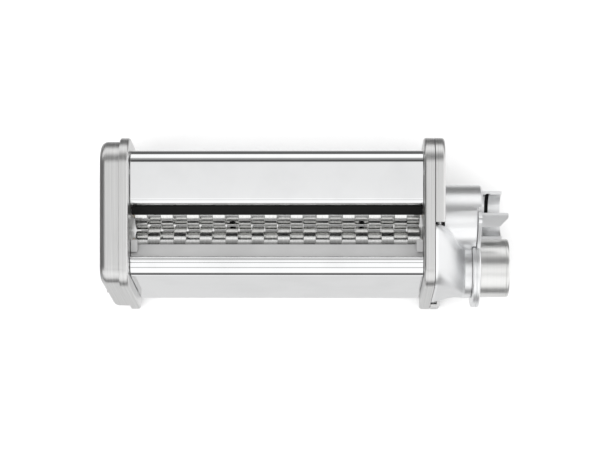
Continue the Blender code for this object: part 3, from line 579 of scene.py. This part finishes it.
def floor_finish():
    f = bpy.context.scene.cutter_finish
    made, tree, shader = surface("Pale floor", 0.0, 0.7, 0.2)
    cloud = effect(tree, "Handling marks", Size=6.0, Amount=1.0)
    pale = mixed(tree, cloud, shaded(f.floor, 1.0), shaded(f.floor, 0.99))
    tree.links.new(pale, shader.inputs["Base Color"])
    return made


def make_finish(kind):
    f = bpy.context.scene.cutter_finish
    if kind in BRUSHED:
        return brushed_finish(kind)
    if kind == "guide":
        return plastic_finish("Grey guide", f.guide, 0.38)
    # Near-black plastic: blackened set screws, and painted shade on the rear feed guide and the strip under
    # the latch slit.
    if kind == "dark":
        return plastic_finish("Blackened", f.dark, 0.5, 0.12)
    return {"chrome": chrome_finish, "cast": cast_finish, "floor": floor_finish}[kind]()


finishes = {}


def finish(name):
    if name not in finishes:
        finishes[name] = make_finish(name)
    return finishes[name]


def sizes():
    scene = bpy.context.scene
    return scene.cutter_body, scene.cutter_roller, scene.cutter_hub


# --- Pieces


class BuildPiece(bpy.types.Operator):
    """Shared settings of the piece operators"""

    bl_options = {"REGISTER", "UNDO"}


class CUTTER_OT_side_plates(BuildPiece):
    """Two pressed end plates: a flat web against the covers and a flange turned outward"""

    bl_idname = "cutter.side_plates"
    bl_label = "Side plates"

    def execute(self, context):
        b, r, h = sizes()
        for name, side, web_x, rim in (
            ("left_side_plate", -1, b.left_web_x, b.left_rim),
            ("right_side_plate", 1, b.right_web_x, b.right_rim),
        ):
            plate = rolled_cap(name + "_sheet", 0.0, web_x, web_x + side * rim, b.edge_roll, 5)
            pan_ends = sorted((web_x + side * b.web, web_x + side * (rim + 0.004)))
            combine(plate, slab("pan", rounded(plate_corners(b.sheet)), *pan_ends))
            holes = [(r.front_y + shift, r.axis_z, ROLLER_HOLE) for shift in (0, r.axis_gap)]
            if side > 0:
                holes.append((h.axis_y, h.axis_z, SHAFT_HOLE))
            for y, z, radius in holes:
                combine(plate, drill(web_x - 0.004, web_x + 0.004, y, z, radius))
            soften(plate, 0.00022, 2, 40)
            hand_over(plate, "plate", "frame", "brushed", name)
        return {"FINISHED"}


ROLLER_HOLE = 0.0063
SHAFT_HOLE = 0.0055
SCREW_POST = 0.0046
SCREW_HOLE = 0.0019
SCREW_SINK = 0.0034
SINK_DEPTH = 0.0029


def cap_holes(cap, x_from, x_to, spots, radius):
    for y, z in spots:
        combine(cap, drill(x_from, x_to, y, z, radius))


class CUTTER_OT_left_cap(BuildPiece):
    """Drawn cap with a generously rounded rim, nested in the left plate's flange"""

    bl_idname = "cutter.left_cap"
    bl_label = "Left end cap"

    def execute(self, context):
        b, _, _ = sizes()
        inset = b.sheet + b.gap
        base = b.left_web_x - b.web - b.gap
        steps = 10
        cap = rolled_cap("left_cap_shell", inset, b.left_cap_x, base, 0.0034, steps)
        hollow = rolled_cap("hollow", inset + b.sheet, b.left_cap_x + b.sheet, base + 0.003, 0.0019, steps)
        combine(cap, hollow)
        for y, z in LEFT_CAP_SCREWS:
            combine(cap, drill(b.left_cap_x + 0.0004, base, y, z, SCREW_POST), "UNION")
        outside = b.left_cap_x - 0.002
        cap_holes(cap, outside, base + 0.002, LEFT_CAP_SCREWS, SCREW_HOLE)
        cap_holes(cap, outside, b.left_cap_x + SINK_DEPTH, LEFT_CAP_SCREWS, SCREW_SINK)
        soften(cap, 0.00025, 2, 50)
        hand_over(cap, "plate", "frame", "brushed", "left_end_cap")
        return {"FINISHED"}


def rolled_cap(name, inset, face_x, base_x, radius, steps):
    """A thick plate whose rim rolls over into its face on the given radius."""
    toward = 1 if base_x > face_x else -1
    rings = [(base_x, rounded(plate_corners(inset)))]
    for k in range(steps + 1):
        angle = math.pi / 2 * k / steps
        shrink = radius * (1 - math.cos(angle))
        x = face_x + toward * radius * (1 - math.sin(angle))
        rings.append((x, rounded(plate_corners(inset + shrink))))
    cap = loft(name, rings)
    bpy.ops.object.mode_set(mode="EDIT")
    bpy.ops.mesh.select_mode(type="FACE")
    bpy.ops.mesh.select_all(action="DESELECT")
    bpy.ops.object.mode_set(mode="OBJECT")
    for face in cap.data.polygons:
        face.select = abs(face.center.x - face_x) < 0.000001
    bpy.ops.object.mode_set(mode="EDIT")
    bpy.ops.mesh.inset(thickness=0.0005)
    bpy.ops.object.mode_set(mode="OBJECT")
    return cap


LEFT_CAP_SCREWS = [(0.0300, 0.0280), (-0.0295, 0.0280)]
RIGHT_CAP_SCREWS = [(0.0320, 0.0380), (0.0274, 0.0200)]


class CUTTER_OT_right_cap(BuildPiece):
    """Shallow right cap, cut away where the gear case meets the plate"""

    bl_idname = "cutter.right_cap"
    bl_label = "Right end cap"

    def execute(self, context):
        b, _, h = sizes()
        case_x = b.right_web_x + b.right_rim + b.gap
        cap = rolled_cap("right_cap_shell", 0, b.right_cap_x, case_x, 0.0016, 5)
        hollow = slab(
            "hollow", rounded(plate_corners(b.sheet)), case_x - 0.003, b.right_cap_x - b.sheet
        )
        combine(cap, hollow)
        post_x = b.right_web_x + b.web + b.gap
        for y, z in RIGHT_CAP_SCREWS:
            combine(cap, drill(post_x, b.right_cap_x - 0.0004, y, z, SCREW_POST), "UNION")
        low = (case_x - 0.002, -0.07, h.bell_base_z - 0.0013)
        high = (b.right_cap_x + 0.002, h.bell_rear_y + b.gap, b.height + 0.005)
        combine(cap, block(low, high))
        outside = b.right_cap_x + 0.002
        cap_holes(cap, post_x - 0.002, outside, RIGHT_CAP_SCREWS, SCREW_HOLE)
        cap_holes(cap, b.right_cap_x - SINK_DEPTH, outside, RIGHT_CAP_SCREWS, SCREW_SINK)
        soften(cap, 0.0003, 2, 40)
        hand_over(cap, "plate", "frame", "brushed", "right_end_cap")
        return {"FINISHED"}


class CUTTER_OT_covers(BuildPiece):
    """Rear and front covers of bright sheet with rolled edges at the feed slot"""

    bl_idname = "cutter.covers"
    bl_label = "Covers"

    def execute(self, context):
        b, _, _ = sizes()
        corners = plate_corners(b.cover_inset)
        outline = rounded(corners, 24)
        top = corners[1][1]
        drop = top - b.cover_foot
        ends = (b.left_web_x + b.cover_gap, b.right_web_x - b.gap)
        roll = (b.rear_edge_y + b.rear_roll, top - b.rear_roll)
        line = arc(roll, b.rear_roll, 215, 90, 26)
        line += outline[25:50][::-1]
        line.append((corners[1][0] - drop * b.rear_slope, b.cover_foot))
        rear = slab("rear_cover_sheet", bent_sheet(line, b.cover_sheet), *ends)
        soften(rear, 0.00018, 2, 50)
        hand_over(rear, "chrome", "frame", "chrome", "rear_cover", degrees=25)

        bead = (b.lip_y - b.lip_radius, top - b.lip_radius * 0.45)
        line = arc(bead, b.lip_radius, -35, 152, 28)
        line.append((bead[0] - b.lip_radius - 0.00035, top))
        line += outline[50:75]
        line.append((corners[2][0] - drop * b.front_slope, b.cover_foot))
        line.reverse()
        front = slab("front_cover_sheet", bent_sheet(line, b.cover_sheet), *ends)
        soften(front, 0.00018, 2, 50)
        hand_over(front, "chrome", "frame", "chrome", "front_cover", degrees=25)
        return {"FINISHED"}


def roller_profile(first):
    """Half section of a cutter roller, with a small chamfer on every disc edge."""
    _, r, _ = sizes()
    start = r.middle_x - r.columns * r.pitch / 2
    left = start + r.side_gap
    right = start + r.columns * r.pitch - r.side_gap
    chamfer = 0.00016
    bore = r.shaft + 0.0002
    profile = [(left, bore)]
    for column in range(r.columns):
        is_disc = column % 2 == first
        inset = r.side_gap if is_disc else -r.side_gap
        low = max(start + column * r.pitch + inset, left)
        high = min(start + (column + 1) * r.pitch - inset, right)
        if is_disc:
            profile += [(low, r.disc - chamfer), (low + chamfer, r.disc)]
            profile += [(high - chamfer, r.disc), (high, r.disc - chamfer)]
        else:
            profile += [(low, r.core), (high, r.core)]
    profile.append((right, bore))
    return profile


class CUTTER_OT_rollers(BuildPiece):
    """The two cutter rollers: turned discs and grooves that run into each other"""

    bl_idname = "cutter.rollers"
    bl_label = "Cutter rollers"

    def execute(self, context):
        _, r, _ = sizes()
        start = r.middle_x - r.columns * r.pitch / 2
        for row, axis_y, first, columns, degrees in (
            ("front", r.front_y, 1, (7, 17), 17.0),
            ("rear", r.front_y + r.axis_gap, 0, (4, 16), -60.0),
        ):
            roller = turned(row + "_roller_discs", roller_profile(first), axis_y, r.axis_z, 128)
            angle = math.radians(degrees)
            for column in columns:
                middle = Vector((start + (column + 0.5) * r.pitch, axis_y, r.axis_z))
                out = Vector((0, math.cos(angle), math.sin(angle)))
                deselect()
                bpy.ops.mesh.primitive_cylinder_add(
                    vertices=32,
                    radius=0.00155,
                    depth=0.014,
                    location=middle + out * 0.009,
                    rotation=(angle - math.pi / 2, 0, 0),
                )
                combine(roller, bpy.context.object)
            hand_over(roller, "roller", row + "_roller", "machined", row + "_cutter_roller", degrees=25)
        return {"FINISHED"}


def bell_start(inset):
    b, _, h = sizes()
    lean = math.sqrt(1 + b.front_slope**2)
    skin = inset + 0.0005
    top = h.bell_top_z - inset
    base = h.bell_base_z + inset

    def front(z):
        return b.front_top_y - (b.height - z) * b.front_slope + skin * lean

    rear = h.bell_rear_y - inset
    return rounded(
        [
            (rear, base, 0.005 - inset),
            (rear, top, 0.004 - inset),
            (front(top), top, b.front_radius - inset - 0.0005),
            (front(base), base, 0.007 - inset),
        ],
        16,
    )


# Where the four corners of the bell's plate-like section land on its round end, in degrees.
BELL_TURNS = (-38.0, 39.0, 141.0, 216.0)
BELL_SPREAD = 14.0


def bell_spokes(inset, pieces):
    """Each point of the plate-like section, with its place on the round end in degrees."""
    outline = bell_start(inset)
    count = len(outline) // 4
    pairs = []
    for corner in range(4):
        edge = outline[corner * count : (corner + 1) * count]
        start = BELL_TURNS[corner] + BELL_SPREAD / 2
        end = BELL_TURNS[(corner + 1) % 4] - BELL_SPREAD / 2 + (360 if corner == 3 else 0)
        for k, point in enumerate(edge):
            pairs.append((Vector(point), start - BELL_SPREAD * (1 - k / (count - 1))))
        after = Vector(outline[(corner + 1) * count % len(outline)])
        for k in range(1, pieces):
            t = k / pieces
            pairs.append((Vector(edge[-1]).lerp(after, t), start * (1 - t) + end * t))
    return pairs


def bell(name, inset, x_from, x_end, stations=19, pieces=16):
    """Loft from the plate's outline to a circle about the drive axis."""
    b, _, h = sizes()
    case_x = b.right_web_x + b.right_rim + b.gap
    hub = Vector((h.axis_y, h.axis_z))
    rings = []
    for ring in range(stations):
        t = ring / (stations - 1)
        ease = t**1.35
        x = x_from if ring == 0 else case_x + (x_end - case_x) * t
        points = []
        for start, degrees in bell_spokes(inset, pieces):
            turn = math.radians(degrees)
            end = hub + Vector((math.cos(turn), math.sin(turn))) * (h.bell_radius - inset)
            points.append(tuple(start.lerp(end, ease)))
        rings.append((x, points))
    return loft(name, rings)


class CUTTER_OT_gear_case(BuildPiece):
    """Die-cast gear case: a bell that runs into a round neck, with a side barrel"""

    bl_idname = "cutter.gear_case"
    bl_label = "Gear case"

    def execute(self, context):
        b, _, h = sizes()
        case_x = b.right_web_x + b.right_rim + b.gap
        neck_end = h.ring_x - b.gap
        case = bell("gear_case_shell", 0.0, case_x, h.bell_end_x)
        neck = drill(h.bell_end_x - 0.002, neck_end, h.axis_y, h.axis_z, h.bell_radius, 144)
        combine(case, neck, "UNION")
        barrel_x = b.right_cap_x + b.gap
        chamfer = 0.001
        barrel = turned(
            "barrel",
            [
                (barrel_x, 0),
                (barrel_x, h.barrel_radius),
                (h.barrel_end_x - chamfer, h.barrel_radius),
                (h.barrel_end_x, h.barrel_radius - chamfer),
                (h.barrel_end_x, 0),
            ],
            h.barrel_y,
            h.barrel_z,
            128,
            closed=False,
        )
        combine(case, barrel, "UNION")
        combine(case, bell("cavity", h.wall, case_x - 0.003, h.bell_end_x - h.wall, 9, 5))
        bore = h.barrel_radius - h.barrel_wall
        combine(case, drill(h.bell_end_x - 0.006, h.neck_x + 0.001, h.axis_y, h.axis_z, h.neck_bore, 96))
        combine(case, drill(h.neck_x - b.gap, neck_end + 0.002, h.axis_y, h.axis_z, h.neck + b.gap, 96))
        combine(case, drill(barrel_x + 0.011, h.barrel_end_x + 0.002, h.barrel_y, h.barrel_z, bore, 96))
        ring_bay = h.ring_radius + 0.0006
        combine(case, drill(neck_end, h.barrel_end_x + 0.002, h.axis_y, h.axis_z, ring_bay, 144))
        low = (h.arm_x - 0.00065, -0.030, 0.020)
        combine(case, block(low, (h.barrel_end_x + 0.002, 0.0094, 0.056)))
        soften(case, 0.0004, 3, 38)
        hand_over(case, "cast", "frame", "cast", "gear_case", degrees=35)
        return {"FINISHED"}


class CUTTER_OT_collar(BuildPiece):
    """Turned drive collar with its neck in the gear case and a wide mouth for the mixer"""

    bl_idname = "cutter.collar"
    bl_label = "Hub collar"

    def execute(self, context):
        b, _, h = sizes()
        shoulder = h.ring_x + h.ring_width + b.gap
        end = h.collar_end_x
        profile = [
            (h.neck_x, h.neck_bore),
            (h.neck_x, h.neck),
            (shoulder, h.neck),
            (shoulder, h.collar_radius - 0.0003),
            (shoulder + 0.0003, h.collar_radius),
            (end - 0.0021, h.collar_radius),
            (end - 0.0019, h.collar_radius - 0.00018),
            (end - 0.0017, h.collar_radius),
            (end - 0.0009, h.collar_radius),
            (end - 0.0003, h.collar_radius - 0.00025),
            (end, h.collar_radius - 0.0009),
            (end, h.collar_bore + 0.0005),
            (end - 0.0005, h.collar_bore),
            (0.0891, h.collar_bore),
            (0.0873, h.neck_bore),
        ]
        collar = turned("hub_collar_turning", profile, h.axis_y, h.axis_z, 160)
        hand_over(collar, "collar", "frame", "machined", "hub_collar", degrees=22)
        return {"FINISHED"}


LEVER_TURN = math.radians(45.0)


def lever_point(radial, tangent):
    """(y, z) of a point given along and across the lever arm."""
    h = bpy.context.scene.cutter_hub
    y = h.axis_y + radial * math.cos(LEVER_TURN) - tangent * math.sin(LEVER_TURN)
    z = h.axis_z + radial * math.sin(LEVER_TURN) + tangent * math.cos(LEVER_TURN)
    return (y, z)


class CUTTER_OT_locking_ring(BuildPiece):
    """Locking ring on the collar's neck, with its lever arm and bent thumb tab"""

    bl_idname = "cutter.locking_ring"
    bl_label = "Locking ring"

    def execute(self, context):
        _, _, h = sizes()
        bore = h.neck + 0.00035
        end = h.ring_x + h.ring_width
        groove = h.ring_x + h.ring_width * 0.42
        profile = [
            (h.ring_x, bore),
            (h.ring_x, h.ring_radius - 0.0005),
            (h.ring_x + 0.0005, h.ring_radius),
            (groove, h.ring_radius),
            (groove + 0.00025, h.ring_radius - 0.0005),
            (groove + 0.0005, h.ring_radius - 0.0005),
            (groove + 0.00075, h.ring_radius),
            (end - 0.0005, h.ring_radius),
            (end, h.ring_radius - 0.0005),
            (end, bore),
        ]
        ring = turned("locking_ring_lever", profile, h.axis_y, h.axis_z, 144)
        half = h.arm_width / 2
        tip = h.arm_radius
        corner = 0.0024
        outline = [(h.arm_root, -half - 0.001)]
        outline += arc((tip - corner, corner - half), corner, -90, 0, 8)
        outline += arc((tip - corner, half - corner), corner, 0, 90, 8)
        outline.append((h.arm_root, half + 0.001))
        arm = slab("arm", [lever_point(*point) for point in outline], h.arm_x, h.arm_x + h.arm_sheet)
        combine(ring, arm, "UNION")
        low = -half + 0.0002
        high = low + h.tab_sheet
        outline = [(h.tab_from, low), (h.tab_to, low), (h.tab_to, high), (h.tab_from, high)]
        tab = slab("tab", [lever_point(*point) for point in outline], h.arm_x + 0.0002, h.tab_end_x)
        trim_tab(tab, h)
        combine(ring, tab, "UNION")
        soften(ring, 0.0004, 3, 40)
        hand_over(ring, "cast", "locking_ring", "cast", "locking_ring", degrees=35)
        return {"FINISHED"}


def trim_tab(tab, h):
    """Cuts the tab's inner outer corner to a slant."""
    pick(tab)
    bpy.ops.object.mode_set(mode="EDIT")
    bpy.ops.mesh.select_all(action="SELECT")
    anchor_y, anchor_z = lever_point(h.tab_from, 0)
    slant = (0.0082, -0.0052 * math.cos(LEVER_TURN), -0.0052 * math.sin(LEVER_TURN))
    bpy.ops.mesh.bisect(
        plane_co=(h.tab_end_x - 0.0040, anchor_y, anchor_z),
        plane_no=Vector(slant).normalized(),
        use_fill=True,
        clear_outer=True,
    )
    face_outwards()


class CUTTER_OT_latch_guard(BuildPiece):
    """Open trough beside the barrel, with a slit across its floor and a near-black strip under the slit as
    painted shade
    """

    bl_idname = "cutter.latch_guard"
    bl_label = "Latch guard"

    def execute(self, context):
        b, _, h = sizes()
        start = h.barrel_end_x + b.gap
        centre = (h.guard_y, h.barrel_z)
        trough = arc(centre, h.guard_radius, -188, 12, 60)
        trough += arc(centre, h.guard_radius - h.guard_sheet, 12, -188, 60)
        guard = slab("latch_guard_trough", trough, b.right_cap_x + b.gap + 0.013, h.guard_end_x)
        low = (b.right_cap_x + 0.008, -0.020, 0.010)
        combine(guard, block(low, (start, 0.0098, 0.050)))
        low = (start + 0.0020, h.guard_y, 0.010)
        combine(guard, block(low, (start + 0.0039, h.guard_y + 0.0109, 0.050)))
        soften(guard, 0.0003, 2, 40)
        hand_over(guard, "cast", "frame", "cast", "latch_guard")
        # A near-black strip just under the slit: painted shade for the dark seen through it.
        shade_strip = arc(centre, h.guard_radius + 0.0008, -92, -26, 16)
        shade_strip += arc(centre, h.guard_radius + 0.0002, -26, -92, 16)
        slit_shade = slab("latch_slot_liner", shade_strip, start + 0.0016, start + 0.0043)
        hand_over(slit_shade, "dark", "frame", "black")
        return {"FINISHED"}


class CUTTER_OT_drive_shaft(BuildPiece):
    """Drive shaft with a tapered square tang"""

    bl_idname = "cutter.drive_shaft"
    bl_label = "Drive shaft"

    def execute(self, context):
        b, _, h = sizes()
        start = b.right_web_x + 0.0003
        shaft = turned(
            "drive_shaft_tang",
            [(start, 0), (start, 0.0027), (start + 0.0003, 0.003), (h.tang_x, 0.003), (h.tang_x, 0)],
            h.axis_y,
            h.axis_z,
            64,
            closed=False,
        )
        half = h.tang / 2
        low = (h.tang_x - 0.001, h.axis_y - half, h.axis_z - half)
        tang = block(low, (h.tang_end_x, h.axis_y + half, h.axis_z + half))
        soften(tang, 0.0009, 4, 60)
        combine(shaft, tang, "UNION")
        hand_over(shaft, "steel", "drive_shaft", "steel", "drive_shaft")
        return {"FINISHED"}


def screw_profile(head_x, side, length):
    head = 0.0020
    out = head_x + side * head
    back = head_x - side * length
    return [
        (out - side * 0.0009, 0),
        (out - side * 0.0009, 0.0013),
        (out - side * 0.00015, 0.0014),
        (out, 0.0016),
        (out - side * 0.0001, 0.0024),
        (out - side * 0.0006, 0.0029),
        (out - side * 0.0012, 0.0031),
        (head_x, 0.0031),
        (head_x, 0.0015),
        (back + side * 0.0004, 0.0015),
        (back, 0.0011),
        (back, 0),
    ]


class CUTTER_OT_screws(BuildPiece):
    """Pan-head screws of the end caps, gear case and tie rods"""

    bl_idname = "cutter.screws"
    bl_label = "Screws"

    def execute(self, context):
        for name in sorted(NODES):
            if "_screw" not in name or "set_screw" in name:
                continue
            low, high = (Vector(corner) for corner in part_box(name))
            middle = (low + high) / 2
            side = -1 if "left" in name or name.startswith("case") else 1
            head_x = low.x + 0.0020 if side < 0 else high.x - 0.0020
            length = high.x - low.x - 0.0020
            screw = turned(
                name + "_turning", screw_profile(head_x, side, length), middle.y, middle.z, 40, closed=False
            )
            hand_over(screw, "steel", "frame", "steel", name, degrees=28)
        return {"FINISHED"}


NODE_FINISHES = {
    "guide": ("front_feed_guide", "left_feed_cheek", "right_feed_cheek", "scraper_comb"),
    # The rear feed guide gets the near-black finish as painted shade, for the shadow under the rear cover's
    # edge; the set screws are blackened.
    "dark": ("rear_feed_guide", "set_screw"),
    "bronze": ("bushing",),
    "steel": ("shaft", "gear", "wheel", "pinion", "tie_rod", "clip"),
}


class CUTTER_OT_node_finishes(BuildPiece):
    """Finishes of the frame's own nodes that stay as they are"""

    bl_idname = "cutter.node_finishes"
    bl_label = "Frame finishes"

    def execute(self, context):
        for name, node in sorted(NODES.items()):
            for kind, words in NODE_FINISHES.items():
                if any(word in name for word in words):
                    for slot in node.material_slots:
                        slot.material = finish(kind)
                    break
        return {"FINISHED"}


# --- Stage


# Brightness round the object, by the angle in degrees from straight up. Along: positive to the rear.
ALONG = (
    (-180, 0.80), (-152, 0.62), (-136, 0.70), (-121, 0.88), (-113, 0.11), (-90, 0.11), (-78, 0.95),
    (-31, 0.95), (-27, 0.45), (-22, 0.45), (-18, 0.93), (-1, 0.93), (1, 0.74), (15, 0.70),
    (20, 0.07), (32, 0.07), (36, 0.22), (46, 0.28), (57, 0.95), (88, 0.95), (95, 0.10), (134, 0.12),
    (144, 0.62), (180, 0.76),
)
# Across: positive to the drive end.
ACROSS = (
    (-180, 0.20), (-60, 0.08), (-36, 0.08), (-24, 0.80), (24, 0.95), (60, 1.00), (145, 1.00),
    (156, 0.25), (180, 0.20),
)


def glow_by_angle(tree, sideways, upward, stops):
    """Brightness that follows stops of (degrees, level) round the plane of two direction parts."""
    turn = put(tree, "Math", {0: sideways, 1: upward}, operation="ARCTAN2").outputs["Value"]
    spread = put(tree, "MapRange", {"Value": turn, "From Min": -math.pi, "From Max": math.pi})
    bands = put(tree, "ValToRGB", {"Fac": spread.outputs["Result"]})
    ramp = bands.color_ramp
    while len(ramp.elements) < len(stops):
        ramp.elements.new(1.0)
    for element, (degrees, level) in zip(ramp.elements, stops):
        element.position = 0.5 + degrees / 360
        element.color = (level, level, level, 1.0)
    return bands.outputs["Color"]


def part_size(tree, part, none, full):
    """0 to 1 as the size of one part of a direction goes from none to full."""
    plain = put(tree, "Math", {0: part}, operation="ABSOLUTE").outputs["Value"]
    levels = {"Value": plain, "From Min": none, "From Max": full}
    return put(tree, "MapRange", levels, interpolation_type="SMOOTHSTEP").outputs["Result"]


def studio_world(scene):
    """Plain soft surroundings; bright metal also mirrors the light and black cards of a studio tent."""
    world = bpy.data.worlds.new("Soft studio")
    scene.world = world
    world.use_nodes = True
    world.cycles.sampling_method = "NONE"
    tree = world.node_tree
    way = put(tree, "TexCoord").outputs["Generated"]
    parts = put(tree, "SeparateXYZ", {"Vector": way}).outputs
    endward = {0: part_size(tree, parts["X"], 0.30, 0.75), 1: part_size(tree, parts["Y"], 0.50, 0.20)}
    lean = put(tree, "Math", endward, operation="MULTIPLY").outputs["Value"]
    along = glow_by_angle(tree, parts["Y"], parts["Z"], ALONG)
    across = glow_by_angle(tree, parts["X"], parts["Z"], ACROSS)
    mirrored = tree.nodes["Background"]
    mirrored.inputs["Strength"].default_value = 1.25
    tree.links.new(mixed(tree, lean, along, across), mirrored.inputs["Color"])
    plain = put(tree, "Background", {"Color": (0.94, 0.94, 0.94, 1.0), "Strength": 1.2})
    mirror_ray = put(tree, "LightPath").outputs["Is Glossy Ray"]
    either = {0: mirror_ray, 1: plain.outputs["Background"], 2: mirrored.outputs["Background"]}
    choose = put(tree, "MixShader", either)
    tree.links.new(choose.outputs["Shader"], tree.nodes["World Output"].inputs["Surface"])


def soft_light(name, place, aim, side, power):
    deselect()
    bpy.ops.object.light_add(type="AREA", location=place)
    lamp = bpy.context.object
    lamp.name = name
    lamp.data.shape = "SQUARE"
    lamp.data.size = side
    lamp.data.energy = power
    lamp.visible_glossy = False
    lamp.rotation_euler = (Vector(aim) - Vector(place)).to_track_quat("-Z", "Y").to_euler()
    return lamp


class CUTTER_OT_stage(BuildPiece):
    """Pale floor, soft light and a camera looking straight down at the feed side"""

    bl_idname = "cutter.stage"
    bl_label = "Stage"

    def execute(self, context):
        scene = context.scene
        scene.view_settings.view_transform = "Standard"
        studio_world(scene)
        deselect()
        bpy.ops.mesh.primitive_circle_add(vertices=96, radius=3.0, fill_type="NGON", location=(0, 0, -0.0002))
        floor = context.object
        floor.name = "floor"
        floor.data.materials.append(finish("floor"))
        floor.visible_glossy = False
        soft_light("key_light", (-0.5, -0.4, 1.6), (0, 0, 0), 1.2, 10.0)
        soft_light("fill_light", (0.9, 0.7, 1.2), (0, 0, 0), 1.0, 5.0)
        deselect()
        bpy.ops.object.camera_add(location=(0.01405, 0.00059, 0.910), rotation=(0, math.radians(1.156), 0))
        camera = context.object
        camera.data.lens = 104.08
        camera.data.sensor_width = 36.0
        camera.data.clip_start = 0.01
        scene.camera = camera
        return {"FINISHED"}


class CUTTER_PT_pieces(bpy.types.Panel):
    """Buttons that build each piece, and their sizes"""

    bl_idname = "CUTTER_PT_pieces"
    bl_label = "Pasta cutter"
    bl_space_type = "VIEW_3D"
    bl_region_type = "UI"
    bl_category = "Cutter"

    def draw(self, context):
        for operator in PIECES:
            self.layout.operator(operator.bl_idname, text=operator.bl_label)
        for name in GROUPS:
            box = self.layout.box()
            settings = getattr(context.scene, name)
            for prop in settings.bl_rna.properties:
                if prop.identifier not in {"rna_type", "name"}:
                    box.prop(settings, prop.identifier)


GROUPS = {
    "cutter_body": CutterBodySizes,
    "cutter_roller": CutterRollerSizes,
    "cutter_hub": CutterHubSizes,
    "cutter_finish": CutterFinishes,
}
PIECES = tuple(BuildPiece.__subclasses__())


def register():
    for name, group in GROUPS.items():
        bpy.utils.register_class(group)
        setattr(bpy.types.Scene, name, PointerProperty(type=group))
    for operator in PIECES:
        bpy.utils.register_class(operator)
    bpy.utils.register_class(CUTTER_PT_pieces)


def unregister():
    bpy.utils.unregister_class(CUTTER_PT_pieces)
    for operator in reversed(PIECES):
        bpy.utils.unregister_class(operator)
    for name, group in GROUPS.items():
        delattr(bpy.types.Scene, name)
        bpy.utils.unregister_class(group)


def main():
    register()
    for operator in PIECES:
        group, call = operator.bl_idname.split(".")
        getattr(getattr(bpy.ops, group), call)()


if __name__ == "__main__":
    main()
